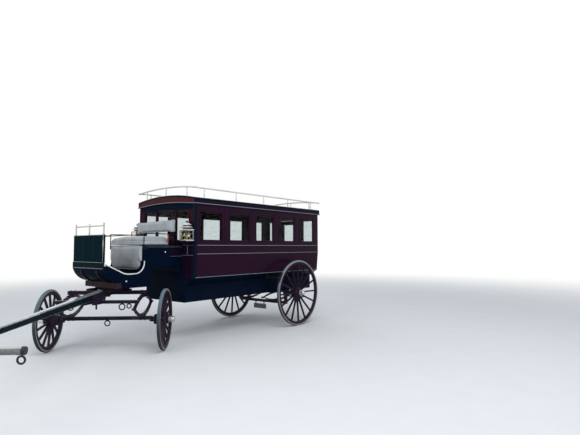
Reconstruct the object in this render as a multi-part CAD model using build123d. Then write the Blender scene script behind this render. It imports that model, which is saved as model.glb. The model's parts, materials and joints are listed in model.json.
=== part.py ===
"""Horse-drawn hotel omnibus with a closed cabin, a driver's boot and a turning fore-carriage.

Millimetres, X forward, Y to the vehicle's left, Z up, standing on Z = 0.
Pieces are made with X = 0 at the rear axle, and moved together at the end so that
the origin is at the middle of the footprint. The fore-carriage is made about its
kingpin, straight ahead, and then turned to the angle it is parked at.
"""
from build123d import *
from math import cos, radians, sin, sqrt
import os

os.makedirs("parts", exist_ok=True)

# Wheels and axles
rear_wheel_radius = 610.0
front_wheel_radius = 438.0
tyre_width = 43.0
tyre_thickness = 30.0
felloe_depth = 48.0
felloe_width = 40.0
felloe_chamfer = 6.0
rear_track = 1795.0
front_track = 1623.0
parked_turn = 42.3
rear_spokes = 16
front_spokes = 14
dish = 26.0
spoke_root_width = 40.0
spoke_root_thickness = 25.0
spoke_neck_width = 30.0
spoke_tip_width = 25.0
spoke_thickness = 24.0
hub_inner = 150.0
hub_outer = 60.0
hub_radius = 95.0
hub_end_radius = 52.0
hub_swell = 18.0
cap_length = 82.0
cap_radius = 44.0
cap_wall = 14.0
arm_radius = 19.0
collar_step = 14.0
running_gap = 0.4
collar_gap = 2.0
axle_section = 50.0
front_axle_seat = 45.0
rear_axle_drop = 210.0
crank_inset = 307.5

# Springs
leaf_thickness = 9.0
leaf_count = 4
leaf_step = 0.24
spring_width = 45.0
spring_eye_radius = 15.0
spring_clamp_length = 70.0
spring_clamp_wall = 6.0
front_spring_height = 317.0
spring_half_span = 500.0
spring_half_length = 470.0
rear_spring_height = 195.0
rear_spring_y = 380.0
rear_spring_half_length = 430.0

# Cabin: lengths, then widths, then heights from the rear springs up
cabin_rear = -910.0
cabin_length = 3274.0
wall = 38.0
well_wall = 25.0
half_width = 720.0
panel_lean = 30.0
shoulder_depth = 185.0
well_height = 260.0
shoulder_height = 120.0
panel_height = 360.0
belt_height = 140.0
sill_height = 75.0
window_height = 455.0
head_height = 110.0
floor_thickness = 28.0

# Windows
window_width = 455.0
front_window_margin = 342.0
rear_window_margin = 396.0
window_count = 5
glass_thickness = 5.0
glass_setback = 15.0
rebate = 8.0
front_centre_half = 235.0
front_mullion = 35.0
front_corner_margin = 133.0
front_window_rise = 50.0
rear_window_inset = 65.0
rear_window_margin_side = 110.0
bead_width = 16.0
bead_proud = 5.0
pilaster_width = 74.0
pilaster_proud = 4.0

# Mouldings
moulding_width = 11.0
moulding_proud = 6.0
pillar_width = 56.0
pillar_return = 14.0
pillar_proud = 7.0
cornice_depth = 14.0
cornice_proud = 8.0

# Roof
roof_overhang = 27.0
eaves = 25.0
fascia = 95.0
roof_rise = 68.0
front_arch_rise = 36.0
ceiling_rise = 102.0
rail_lift = 92.0
rail_arch_rise = 45.0
rail_inset = 8.0
rail_radius = 13.0
front_post_margin = 196.0
rear_post_margin = 298.0
post_count = 5
end_post_inset = 182.0
post_radius = 9.0
foot_radius = 24.0
foot_thickness = 8.0
finial_radius = 17.0

# Rear door
opening_half = 280.0
opening_head = 95.0
door_gap = 5.0
door_stile = 90.0
door_head = 75.0
hinge_radius = 9.0
hinge_length = 60.0
hinge_leaf = 41.0
pin_radius = 4.0
handle_standoff = 45.0
handle_radius = 8.0
lever_reach = 95.0
lever_margin = 55.0

# Benches
bench_front = 290.0
bench_height = 432.0
bench_board = 22.0
bench_end = 60.0
cushion_thickness = 75.0
cushion_round = 22.0
soft_gap = 0.3

# Driver's boot
boot_half = 440.0
boot_board = 22.0
seat_reach = 686.0
footwell_length = 280.0
toe_length = 310.0
foot_floor_rise = 100.0
dash_base_rise = 162.0
dash_height = 383.0
dash_inset = 28.0
toe_depth = 77.0
heel_round = 140.0
toe_round = 200.0
kingpin_ahead = 965.0
transom_behind = 79.0
transom_ahead = 56.0
beam_thickness = 60.0
beam_height = 80.0
bed_lift = 55.0
block_behind = 399.0
arch_behind = 46.0
arch_height = 275.0
arch_corner = 110.0
groove_count = 2
groove_width = 6.0
groove_depth = 4.0
groove_margin = 20.0
rod_radius = 8.0
dash_rail_lift = 120.0
dash_post_lift = 145.0
dash_post_inset = 27.0
trim_width = 15.0
trim_proud = 5.0
stay_y = 215.0
stay_width = 34.0
stay_thickness = 14.0

# Driver's seat
seat_depth = 450.0
seat_inset = 12.0
seat_cushion_height = 110.0
seat_round = 24.0
apron_thickness = 26.0
apron_height = 385.0
apron_corner = 95.0
back_behind = 465.0
back_thickness = 72.0
back_clear = 44.0
back_height = 182.0
back_overhang = 40.0
back_round = 26.0
seat_rail_lift = 172.0
seat_rail_out = 12.0
upright_inset = 60.0
upright_width = 34.0
upright_thickness = 10.0

# Lamps
lamp_size = 150.0
lamp_inset = 65.0
lamp_standoff = 15.0
lamp_below_sill = 8.0
lamp_glass_height = 178.0
hood_height = 127.0
lamp_frame = 11.0
lamp_plate = 14.0
candle_radius = 12.0
candle_height = 81.0

# Turntable, futchells and pole, from the kingpin
bolster_height = 50.0
bolster_overhang = 50.0
bolster_width = 90.0
ring_radius = 290.0
ring_width = 52.0
ring_thickness = 16.0
ring_gap = 0.3
kingpin_radius = 18.0
nut_step = 14.0
nut_height = 32.0
futchell_y = 62.0
futchell_width = 34.0
futchell_tail = 330.0
tail_bar_half = 230.0
jaw_start = 312.0
jaw_length = 418.0
jaw_below_pole = 21.0
jaw_depth = 153.0
jaw_slope = 70.0
pole_butt = 330.0
pole_length = 2820.0
pole_clearance = 16.0
pole_slope = 0.0346
pole_butt_depth = 101.0
pole_tip_depth = 53.0
pole_butt_width = 89.0
pole_tip_width = 52.0
pole_strap = 6.0
pin_ahead = 120.0
pin_drop = 64.0
pole_pin_radius = 9.0
pin_head_radius = 17.0
splinter_s = 450.0
splinter_half = 560.0
splinter_lift = 7.0
splinter_depth = 42.0
splinter_width = 55.0
splinter_end = 16.0
outer_trace_inset = 132.0
outer_trace_radius = 28.0
inner_trace_inset = 224.0
inner_trace_radius = 38.0
ring_wire = 8.0
drop_pin_length = 78.0
drop_pin_radius = 11.0
yoke_behind_tip = 70.0
yoke_half = 432.0
yoke_radius = 33.0
yoke_gap = 6.7
yoke_ring_inset = 34.0
yoke_ring_radius = 28.0
yoke_bolt_radius = 9.0
axle_ring_radius = 36.0

# Rear running gear, step and handles
brake_above_axle = 315.0
brake_clearance = 8.0
brake_shoe_thickness = 46.0
brake_shoe_length = 150.0
brake_arm = 36.0
plate_offset = 85.0
plate_half = 165.0
plate_height = 95.0
plate_hanger = 42.0
plate_thickness = 6.0
step_below_floor = 235.0
step_depth = 190.0
step_half = 250.0
step_thickness = 12.0
step_strap = 32.0
step_strap_reach = 130.0
step_behind = 30.0
handle_length = 420.0
handle_foot = 30.0
handle_outset = 38.0

# Levels and places that follow from the sizes above
rear_crank_half = rear_track / 2 - crank_inset
rear_axle_top = rear_wheel_radius - rear_axle_drop + axle_section / 2
floor_bottom = rear_axle_top + rear_spring_height
floor_top = floor_bottom + floor_thickness
shoulder_low = floor_bottom + well_height
panel_bottom = shoulder_low + shoulder_height
belt_low = panel_bottom + panel_height
belt_top = belt_low + belt_height
window_sill = belt_top + sill_height
window_top = window_sill + window_height
wall_top = window_top + head_height
roof_edge = wall_top + fascia
roof_crown = roof_edge + roof_rise
rail_height = roof_crown + rail_lift
panel_half = half_width - panel_lean
well_half = panel_half - shoulder_depth
roof_half = half_width + eaves
rail_half = half_width - rail_inset
cabin_front = cabin_rear + cabin_length
front_side_window = half_width - front_corner_margin - front_centre_half - front_mullion
window_pitch = (cabin_length - front_window_margin - rear_window_margin) / (window_count - 1)
post_pitch = (cabin_length - front_post_margin - rear_post_margin) / (post_count - 1)
opening_top = wall_top - opening_head
bench_top = floor_top + bench_height
wheelbase = cabin_front + kingpin_ahead
front_axle_top = front_wheel_radius + front_axle_seat
bolster_bottom = front_axle_top + front_spring_height
bolster_top = bolster_bottom + bolster_height
block_bottom = bolster_top + bed_lift
transom_top = block_bottom + beam_height
transom_rear = wheelbase - transom_behind
transom_face = wheelbase + transom_ahead
transom_front = transom_face + beam_thickness
block_rear = wheelbase - block_behind
arch_rear = cabin_front + arch_behind
arch_top = block_bottom + arch_height
seat_front = cabin_front + seat_reach
seat_rear = seat_front - seat_depth
seat_top = belt_top
foot_floor = panel_bottom + foot_floor_rise
toe_start = seat_front + footwell_length
dash_front = toe_start + toe_length
dash_base = foot_floor + dash_base_rise
dash_top = dash_base + dash_height
toe_bottom = dash_base - toe_depth
dash_half = boot_half - dash_inset
seat_rail_height = seat_top + seat_rail_lift
back_front = seat_front - back_behind
back_bottom = seat_rail_height + back_clear
back_top = back_bottom + back_height
lamp_y = half_width - lamp_inset
lamp_x = cabin_front + lamp_standoff + lamp_size / 2
lamp_bottom = window_sill - lamp_below_sill
lamp_glass_top = lamp_bottom + lamp_glass_height
jaw_end = jaw_start + jaw_length
pole_top_at_butt = block_bottom - pole_clearance
jaw_top = pole_top_at_butt - jaw_below_pole
jaw_bottom = jaw_top - jaw_depth
pole_tip = pole_butt + pole_length
pin_s = splinter_s + pin_ahead
pin_level = pole_top_at_butt - pin_drop
splinter_bottom = jaw_bottom + splinter_lift
yoke_s = pole_tip - yoke_behind_tip
brake_level = rear_wheel_radius + brake_above_axle
step_level = floor_bottom - step_below_floor


def box(x0, x1, y0, y1, z0, z1):
    """A block between two corners."""
    return Pos((x0 + x1) / 2, (y0 + y1) / 2, (z0 + z1) / 2) * Box(x1 - x0, y1 - y0, z1 - z0)


def outline(*points):
    """A flat face with straight edges."""
    return make_face(Polyline(*points, close=True))


def along_x(face, x0, x1):
    """A face drawn in Y and Z, pulled along X."""
    return extrude(Plane.YZ.offset(x0) * face, amount=x1 - x0)


def along_y(face, y0, y1):
    """A face drawn in X and Z, pulled along Y."""
    return extrude(Plane.XZ.offset(-y1) * face, amount=y1 - y0)


def along_z(face, z0, z1):
    """A face drawn in X and Y, pulled along Z."""
    return extrude(Plane.XY.offset(z0) * face, amount=z1 - z0)


def rod(start, end, radius):
    """A round bar from one point to another."""
    start, end = Vector(*start), Vector(*end)
    line = end - start
    base = (Align.CENTER, Align.CENTER, Align.MIN)
    return Plane(origin=start, z_dir=line) * Cylinder(radius, line.length, align=base)


def rod_path(points, radius):
    """Round bars through several points, rounded where they meet."""
    bars = [rod(a, b, radius) for a, b in zip(points, points[1:])]
    knees = [Pos(*p) * Sphere(radius) for p in points[1:-1]]
    return joined(bars + knees)


def upright_pipe(x, y, z0, z1, radius):
    """A vertical cylinder."""
    return rod((x, y, z0), (x, y, z1), radius)


def joined(shapes):
    """One shape from many."""
    total = shapes[0]
    for shape in shapes[1:]:
        total = total + shape
    return total


def both_sides(shape):
    """A shape and its mirror image across the middle."""
    return shape + mirror(shape, about=Plane.XZ)


def spun(*points):
    """A profile of radius and distance along Y, revolved about Y."""
    return revolve(outline(*points), axis=Axis.Y)


# Wheels: made about the axle line, outer face towards +Y, rim centred on Y = 0

def wheel_wood(radius, spokes):
    """Hub, tapered spokes that lean out to the rim, and felloe, as one wooden wheel."""
    rim_outer = radius - tyre_thickness
    rim_inner = rim_outer - felloe_depth
    half = felloe_width / 2
    bore = arm_radius + running_gap
    neck = hub_end_radius + hub_swell
    nose = hub_outer - 30
    hub = spun(
        (bore, -hub_inner), (neck - 6, -hub_inner), (neck, -hub_inner + 8), (neck, -hub_inner + 30),
        (neck - 4, -hub_inner + 34), (hub_radius - 8, -dish - 46), (hub_radius, -dish - 40),
        (hub_radius, -dish + 32), (hub_radius - 8, -dish + 38), (hub_end_radius + 10, nose),
        (hub_end_radius + 14, nose + 4), (hub_end_radius + 14, nose + 18), (hub_end_radius, nose + 22),
        (hub_end_radius, hub_outer), (bore, hub_outer),
    )
    felloe = spun(
        (rim_inner, -half + felloe_chamfer), (rim_inner + felloe_chamfer, -half), (rim_outer, -half),
        (rim_outer, half), (rim_inner + felloe_chamfer, half), (rim_inner, half - felloe_chamfer),
    )
    start = hub_radius - 8
    length = rim_inner + 4 - start
    root = Plane.XY.offset(start) * Pos(0, -dish) * Rectangle(spoke_root_thickness, spoke_root_width)
    neck_face = Plane.XY.offset(start + 0.3 * length) * Pos(0, -0.7 * dish) * Rectangle(
        spoke_thickness, spoke_neck_width)
    tip = Plane.XY.offset(start + length) * Rectangle(spoke_tip_width, spoke_thickness)
    spoke = loft([root, neck_face, tip], ruled=True)
    turns = [Rot(0, 360.0 * k / spokes, 0) * spoke for k in range(spokes)]
    return joined([hub, felloe] + turns)


def wheel_tyre(radius):
    """Solid rubber tyre with a rounded tread."""
    inner = radius - tyre_thickness + ring_gap
    half = tyre_width / 2
    shoulder = tyre_thickness * 0.27
    return spun(
        (inner, -half), (radius - shoulder, -half), (radius - 2, -half + shoulder), (radius, 0),
        (radius - 2, half - shoulder), (radius - shoulder, half), (inner, half),
    )


def wheel_cap():
    """Bright cap over the axle's end, hollow inside."""
    start, end = hub_outer, hub_outer + cap_length
    cavity = arm_radius + 6
    return spun(
        (cavity, start), (hub_end_radius, start), (hub_end_radius, start + 10), (cap_radius, start + 14),
        (cap_radius, start + 34), (cap_radius - 4, start + 37), (cap_radius - 4, end - 18),
        (cap_radius - 14, end - 3), (0, end), (0, end - cap_wall), (cavity, end - cap_wall - 12),
    )


def axle_arm(track, level, inner):
    """The round arm that a wheel turns on, with the collar that the hub runs against."""
    plane = track / 2
    collar = rod((0, inner, level), (0, plane - hub_inner - collar_gap, level), arm_radius + collar_step)
    arm = rod((0, inner, level), (0, plane + hub_outer + cap_wall, level), arm_radius)
    return collar + arm


# Springs

def leaf_arc(half_length, rise, length, lift):
    """One curved leaf: the arc of the main leaf, lifted by whole leaves and cut to its length."""
    radius = (half_length**2 + rise**2) / (2 * rise)
    centre = rise - radius
    outer = radius + lift
    ring = Pos(0, centre) * (Circle(outer) - Circle(outer - leaf_thickness))
    reach = sqrt(outer**2 - length**2) + centre
    tall = 2 * outer
    window = Pos(0, reach + tall / 2 - leaf_thickness) * Rectangle(2 * length, tall)
    return ring & window


def half_spring(half_length, rise, width):
    """The upper half of an elliptic spring, its leaves shorter towards the outside, with its clamp."""
    leaves = []
    for k in range(leaf_count):
        share = 1 - leaf_step * k
        leaves.append(leaf_arc(half_length, rise, half_length * share, leaf_thickness * k))
    face = joined(leaves)
    top = rise + leaf_thickness * (leaf_count - 1)
    clamp = box(-spring_clamp_length / 2, spring_clamp_length / 2, -width / 2 - spring_clamp_wall,
                width / 2 + spring_clamp_wall, rise - leaf_thickness - spring_clamp_wall, top)
    return along_y(face, -width / 2, width / 2) + clamp


def elliptic_spring(low, height, half_length, width):
    """Two half springs that meet at eyes, filling the height between axle and bed."""
    rise = height / 2 - leaf_thickness * (leaf_count - 1)
    upper = half_spring(half_length, rise, width)
    lower = mirror(upper, about=Plane.XY)
    reach = width / 2 + spring_clamp_wall
    eyes = [rod((side * half_length, -reach, 0), (side * half_length, reach, 0), spring_eye_radius)
            for side in (-1, 1)]
    return Pos(0, 0, low + height / 2) * joined([upper, lower] + eyes)


# Cabin

def side_line(level):
    """Outside half width of the cabin's sides at a height: straight above the belt, leaning in below."""
    if level >= belt_low:
        return half_width
    share = (level - panel_bottom) / panel_height
    return panel_half + share * panel_lean


def window_centres():
    """Middle of each side window, from the front."""
    return [cabin_front - front_window_margin - window_pitch * k for k in range(window_count)]


def pane_hole_y(x, width, low, high):
    """The cut for one window in the left wall: clear through, with a rebate from the inside."""
    inside = half_width - wall - 1
    clear = box(x - width / 2, x + width / 2, inside, half_width + bead_proud + 1, low, high)
    seat = box(x - width / 2 - rebate, x + width / 2 + rebate, inside, half_width - glass_setback,
               low - rebate, high + rebate)
    return clear + seat


def pane_y(x, width, low, high):
    """One pane of the left wall, seated against the rebate's step."""
    gap = rebate - 1
    face = half_width - glass_setback
    return box(x - width / 2 - gap, x + width / 2 + gap, face - glass_thickness, face, low - gap, high + gap)


def pane_hole_x(y, x_out, out, width, low, high):
    """The cut for one window in an end wall whose outside faces out, +1 forward or -1 back."""
    near, far = sorted((x_out + out * (bead_proud + 1), x_out - out * (wall + 1)))
    clear = box(near, far, y - width / 2, y + width / 2, low, high)
    near, far = sorted((x_out - out * glass_setback, x_out - out * (wall + 1)))
    seat = box(near, far, y - width / 2 - rebate, y + width / 2 + rebate, low - rebate, high + rebate)
    return clear + seat


def pane_x(y, x_out, out, width, low, high):
    """One pane of an end wall."""
    gap = rebate - 1
    near, far = sorted((x_out - out * glass_setback, x_out - out * (glass_setback + glass_thickness)))
    return box(near, far, y - width / 2 - gap, y + width / 2 + gap, low - gap, high + gap)


def bead_y(x, width, low, high):
    """Raised bead round a window of the left wall, before its opening is cut."""
    return box(x - width / 2 - bead_width, x + width / 2 + bead_width, half_width - 1, half_width + bead_proud,
               low - bead_width, high + bead_width)


def bead_x(y, x_out, out, width, low, high):
    """Raised bead round a window of an end wall, before its opening is cut."""
    near, far = sorted((x_out - out, x_out + out * bead_proud))
    return box(near, far, y - width / 2 - bead_width, y + width / 2 + bead_width,
               low - bead_width, high + bead_width)


def side_wall():
    """Left side wall: leaning in below the belt, with pilasters, window beads and the windows cut."""
    inner = wall
    face = outline(
        (panel_half, panel_bottom), (half_width, belt_low), (half_width, wall_top),
        (half_width - inner, wall_top), (half_width - inner, belt_low), (panel_half - inner, panel_bottom),
    )
    solid = along_x(face, cabin_rear, cabin_front)
    centres = window_centres()
    for x in centres[:-1]:
        middle = x - window_pitch / 2
        solid = solid + box(middle - pilaster_width / 2, middle + pilaster_width / 2, half_width - 1,
                            half_width + pilaster_proud, belt_top + moulding_width, wall_top)
    for x in centres:
        solid = solid + bead_y(x, window_width, window_sill, window_top)
    for x in centres:
        solid = solid - pane_hole_y(x, window_width, window_sill, window_top)
    return solid


def end_face():
    """Outline of the end walls: the narrow well below, shoulders, and the width between the sides above."""
    inside, lower = half_width - wall, panel_half - wall
    right = [(well_half, floor_bottom), (well_half, shoulder_low), (panel_half, panel_bottom),
             (lower, panel_bottom), (inside, belt_low), (inside, wall_top)]
    left = [(-y, z) for y, z in reversed(right)]
    edges = Polyline(*left, *right)
    arch = ThreePointArc((inside, wall_top), (0, wall_top + front_arch_rise), (-inside, wall_top))
    return make_face(edges + arch)


front_side_y = front_centre_half + front_mullion + front_side_window / 2
front_windows = [
    # y of the middle, width, height above the side windows
    (0.0, 2 * front_centre_half, front_window_rise),
    (front_side_y, front_side_window, front_window_rise * 0.4),
    (-front_side_y, front_side_window, front_window_rise * 0.4),
]
rear_window_near = opening_half + rear_window_inset
rear_window_far = half_width - rear_window_margin_side
rear_window_width = rear_window_far - rear_window_near
rear_window_y = (rear_window_far + rear_window_near) / 2


def front_wall():
    """Front wall and the bulkhead below it."""
    solid = along_x(end_face(), cabin_front - wall, cabin_front)
    for y, width, rise in front_windows:
        solid = solid + bead_x(y, cabin_front, 1, width, window_sill, window_top + rise)
    for y, width, rise in front_windows:
        solid = solid - pane_hole_x(y, cabin_front, 1, width, window_sill, window_top + rise)
    return solid


def hinge_pin_y():
    """The rear door's hinge line, at the edge of its opening."""
    return opening_half - door_gap / 2


def hinge_levels():
    """Middle height of each hinge."""
    low, high = floor_top, opening_top
    return (low + 0.11 * (high - low), low + 0.47 * (high - low), low + 0.86 * (high - low))


def rear_wall():
    """Rear wall with the doorway, two corner windows and the fixed hinge knuckles."""
    solid = along_x(end_face(), cabin_rear, cabin_rear + wall)
    solid = solid - box(cabin_rear - 1, cabin_rear + wall + 1, -opening_half, opening_half, floor_top, opening_top)
    for side in (-1, 1):
        solid = solid + bead_x(side * rear_window_y, cabin_rear, -1, rear_window_width, window_sill, window_top)
        solid = solid - pane_hole_x(side * rear_window_y, cabin_rear, -1, rear_window_width,
                                    window_sill, window_top)
    for level in hinge_levels():
        solid = solid + hinge_knuckle(level, -1)
    return solid


def hinge_knuckle(level, part):
    """Half of a hinge outside the doorway's edge: part -1 is the wall's lower half with the pin, 1 the door's."""
    x, y = cabin_rear - hinge_radius - 1, hinge_pin_y()
    half = hinge_length / 2
    if part < 0:
        barrel = upright_pipe(x, y, level - half, level - ring_gap, hinge_radius)
        pin = upright_pipe(x, y, level - half, level + half, pin_radius)
        leaf = box(x, cabin_rear, y + door_gap / 2, y + hinge_leaf, level - half, level - ring_gap)
        return barrel + pin + leaf
    barrel = upright_pipe(x, y, level, level + half, hinge_radius)
    bore = upright_pipe(x, y, level - 1, level + half + 1, pin_radius + ring_gap)
    leaf = box(x, cabin_rear, y - hinge_leaf, y - pin_radius - ring_gap, level, level + half)
    return (barrel + leaf) - bore


def cabin_floor():
    """The well that passengers stand in: floor, skirts and sloping shoulders, open to the cabin."""
    inner = well_half - well_wall
    slope = shoulder_height / shoulder_depth
    inner_low = panel_bottom - (panel_half - wall - inner) * slope
    right_out = [(well_half, floor_bottom), (well_half, shoulder_low), (panel_half, panel_bottom)]
    right_in = [(panel_half - wall, panel_bottom), (inner, inner_low), (inner, floor_top)]
    left_in = [(-y, z) for y, z in reversed(right_in)]
    left_out = [(-y, z) for y, z in reversed(right_out)]
    face = outline(*right_out, *right_in, *left_in, *left_out)
    return along_x(face, cabin_rear + wall, cabin_front - wall)


def roof():
    """Crowned roof with a deep fascia, hollowed to an arched ceiling between the end walls."""
    inside = half_width - wall
    rear, front = cabin_rear - roof_overhang, cabin_front + roof_overhang
    top = ThreePointArc((roof_half, roof_edge), (0, roof_crown), (-roof_half, roof_edge))
    left = Polyline((-roof_half, roof_edge), (-roof_half, wall_top), (-inside, wall_top))
    under = ThreePointArc((-inside, wall_top), (0, wall_top + front_arch_rise), (inside, wall_top))
    right = Polyline((inside, wall_top), (roof_half, wall_top), (roof_half, roof_edge))
    solid = along_x(make_face(top + left + under + right), rear, front)
    ceiling = ThreePointArc((-inside, wall_top), (0, wall_top + ceiling_rise), (inside, wall_top))
    base = Polyline((inside, wall_top), (inside, wall_top - 1), (-inside, wall_top - 1), (-inside, wall_top))
    return solid - along_x(make_face(ceiling + base), cabin_rear + wall, cabin_front - wall)


def cornice():
    """Light moulding round the foot of the roof's fascia, arched at both ends."""
    inside = half_width - wall
    outer = roof_half + cornice_proud
    low, high = wall_top, wall_top + cornice_depth
    rear, front = cabin_rear - roof_overhang, cabin_front + roof_overhang
    under = Polyline((-outer, low), (-inside, low)) + ThreePointArc(
        (-inside, low), (0, low + front_arch_rise), (inside, low)) + Polyline((inside, low), (outer, low))
    over = Polyline((outer, low), (outer, high), (inside, high)) + ThreePointArc(
        (inside, high), (0, high + front_arch_rise), (-inside, high)) + Polyline(
        (-inside, high), (-outer, high), (-outer, low))
    face = make_face(under + over)
    ends = along_x(face, front, front + cornice_proud) + along_x(face, rear - cornice_proud, rear)
    return ends + both_sides(box(rear - 1, front + 1, roof_half, outer, low, high))


def roof_height(y):
    """Height of the roof's crown at a distance from the middle."""
    radius = (roof_half**2 + roof_rise**2) / (2 * roof_rise)
    return roof_crown - radius + sqrt(radius**2 - y**2)


def end_rail_height(y):
    """Height of the arched rails across the roof's ends."""
    half = rail_half + 2.2 * finial_radius
    radius = (half**2 + rail_arch_rise**2) / (2 * rail_arch_rise)
    return rail_height + rail_arch_rise - radius + sqrt(radius**2 - y**2)


def end_rail(x):
    """One arched rail across the roof."""
    half = rail_half + 2.2 * finial_radius
    line = ThreePointArc((x, -half, rail_height), (x, 0, end_rail_height(0)), (x, half, rail_height))
    return sweep(Plane(origin=line @ 0, z_dir=line % 0) * Circle(rail_radius), path=line)


def roof_rail():
    """Luggage rail round the roof: posts on round feet, four rails that cross and end in balls."""
    front, rear = cabin_front, cabin_rear
    reach = 2.2 * finial_radius
    end_post_y = rail_half - end_post_inset
    places = [(cabin_front - front_post_margin - post_pitch * k, side * rail_half)
              for k in range(post_count) for side in (-1, 1)]
    places += [(x, y) for x in (front, rear) for y in (-end_post_y, 0.0, end_post_y)]
    shapes = []
    for x, y in places:
        foot = roof_height(abs(y) + foot_radius)
        shapes.append(upright_pipe(x, y, foot, roof_height(y) + foot_thickness, foot_radius))
        top = end_rail_height(y) if x in (front, rear) else rail_height
        shapes.append(upright_pipe(x, y, foot, top, post_radius))
        shapes.append(Pos(x, y, roof_height(y) + rail_lift * 0.45) * Sphere(post_radius * 1.5))
    for side in (-1, 1):
        y = side * rail_half
        shapes.append(rod((rear - reach, y, rail_height), (front + reach, y, rail_height), rail_radius))
        shapes += [Pos(x, y, rail_height) * Sphere(finial_radius) for x in (rear - reach, front + reach)]
    for x in (front, rear):
        shapes.append(end_rail(x))
        shapes += [Pos(x, side * (rail_half + reach), rail_height) * Sphere(finial_radius) for side in (-1, 1)]
    return joined(shapes) - roof_envelope()


def roof_envelope():
    """What lies under the roof's top, to trim the rail's feet to the crown."""
    top = ThreePointArc((roof_half, roof_edge), (0, roof_crown), (-roof_half, roof_edge))
    base = Polyline((-roof_half, roof_edge), (-roof_half, wall_top), (roof_half, wall_top), (roof_half, roof_edge))
    return along_x(make_face(top + base), cabin_rear - roof_overhang, cabin_front + roof_overhang)


# Mouldings on the walls

def side_strip(low, high, proud):
    """Section of a strip that lies on the left wall between two heights, drawn in Y and Z."""
    return outline((side_line(low), low), (side_line(high), high), (side_line(high) + proud, high),
                   (side_line(low) + proud, low))


def mouldings():
    """Light mouldings at the belt and the foot of the side panels, on both end walls and on the boot."""
    half = moulding_width / 2
    front = cabin_front - pillar_width
    strips = [along_x(side_strip(panel_bottom, panel_bottom + moulding_width, moulding_proud), cabin_rear, front)]
    for level in (belt_low + half, belt_top):
        strips.append(along_x(side_strip(level - half, level + half, moulding_proud), cabin_rear, front))
    panel_low = belt_low - moulding_width
    inner, outer = boot_half + trim_proud, side_line(panel_low - half) - pillar_return
    for level in (panel_low, belt_top):
        strips.append(box(cabin_front, cabin_front + moulding_proud, inner, outer, level - half, level + half))
    middle = (inner + outer) / 2 - moulding_width
    strips.append(box(cabin_front, cabin_front + moulding_proud, middle - half, middle + half,
                      panel_low + half, belt_top - half))
    strips.append(box(cabin_front + moulding_proud + 1, seat_front, boot_half, boot_half + moulding_proud,
                      belt_top - moulding_width, belt_top))
    near, far = opening_half + handle_outset + 3 * handle_radius, half_width - pillar_return
    for level in (belt_low + half, belt_top):
        strips.append(box(cabin_rear - moulding_proud, cabin_rear, near, far, level - half, level + half))
    return both_sides(joined(strips))


def corner_pillars():
    """Dark pillars that cover the front corners, from the foot of the panels to the cornice."""
    levels = (panel_bottom, belt_low, wall_top)
    outer = [(side_line(z) + pillar_proud, z) for z in levels]
    wall_edge = [(side_line(z), z) for z in levels]
    inner = [(side_line(z) - pillar_return, z) for z in levels]
    side = along_x(outline(*outer, *reversed(wall_edge)), cabin_front - pillar_width, cabin_front + pillar_proud)
    face = along_x(outline(*outer, *reversed(inner)), cabin_front, cabin_front + pillar_proud)
    return both_sides(side + face)


# Benches, door, step and handles

def bench_frame():
    """Left bench: a board over the wheel's shoulder and a front board down to the floor."""
    rear, front = cabin_rear + wall + bench_end, cabin_front - wall - soft_gap
    board_low = bench_top - bench_board
    outer = side_line(board_low) - wall - 1
    board = box(rear, front, bench_front, outer, board_low, bench_top)
    face = box(rear, front, bench_front, bench_front + bench_board, floor_top, board_low)
    return board + face


def bench_cushion():
    """Left bench cushion."""
    rear, front = cabin_rear + wall + bench_end, cabin_front - wall - 2
    low = bench_top + soft_gap
    outer = side_line(low) - wall - 4
    solid = box(rear, front, bench_front - 6, outer, low, low + cushion_thickness)
    return fillet(solid.edges().filter_by(Axis.X).group_by(Axis.Z)[-1], cushion_round)


def rear_door():
    """Rear door with its window, hinge knuckles and handle."""
    half = opening_half - door_gap
    low = floor_top + door_gap
    high = opening_top - door_gap
    width = 2 * (half - door_stile)
    solid = box(cabin_rear, cabin_rear + wall, -half, half, low, high)
    solid = solid + bead_x(0, cabin_rear, -1, width, window_sill, high - door_head)
    solid = solid - pane_hole_x(0, cabin_rear, -1, width, window_sill, high - door_head)
    for level in hinge_levels():
        solid = solid + hinge_knuckle(level, 1)
    grip_y, grip_z = lever_margin - half, belt_low - belt_height
    out = cabin_rear - handle_standoff
    shaft = rod((out, grip_y, grip_z), (cabin_rear, grip_y, grip_z), handle_radius - 1)
    lever = rod((out, grip_y - 1.5 * handle_radius, grip_z), (out, grip_y + lever_reach, grip_z), handle_radius)
    return joined([solid, shaft, lever])


def door_glass():
    """The rear door's pane."""
    half = opening_half - door_gap
    return pane_x(0, cabin_rear, -1, 2 * (half - door_stile), window_sill, opening_top - door_gap - door_head)


def rear_step():
    """Iron step below the rear door, hung from the floor by two bent straps."""
    back = cabin_rear - step_behind
    tread = box(back - step_depth, back, -step_half, step_half, step_level, step_level + step_thickness)
    strap_y = step_half - 50
    straps = []
    for side in (-1, 1):
        y0, y1 = side * strap_y - step_strap / 2, side * strap_y + step_strap / 2
        low, high = step_level + step_thickness, floor_bottom
        face = outline((back - 60, low), (back, low), (cabin_rear + step_strap_reach, high), (cabin_rear + wall, high),
                       (back - 20, low + 40), (back - 60, low + 12))
        straps.append(along_y(face, y0, y1))
    return joined([tread] + straps)


def grab_handles():
    """Upright handles on both sides of the rear door."""
    x, y = cabin_rear - handle_standoff, opening_half + handle_outset
    low = belt_low - handle_length * 2 / 3
    high = low + handle_length
    feet = [rod((x, y, z), (cabin_rear, y, z), handle_radius) for z in (low, high)]
    roses = [rod((cabin_rear - 6, y, z), (cabin_rear, y, z), 2 * handle_radius) for z in (low, high)]
    grip = rod((x, y, low - handle_foot), (x, y, high + handle_foot), handle_radius + 2)
    return both_sides(joined([grip] + feet + roses))


# Driver's boot

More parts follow.
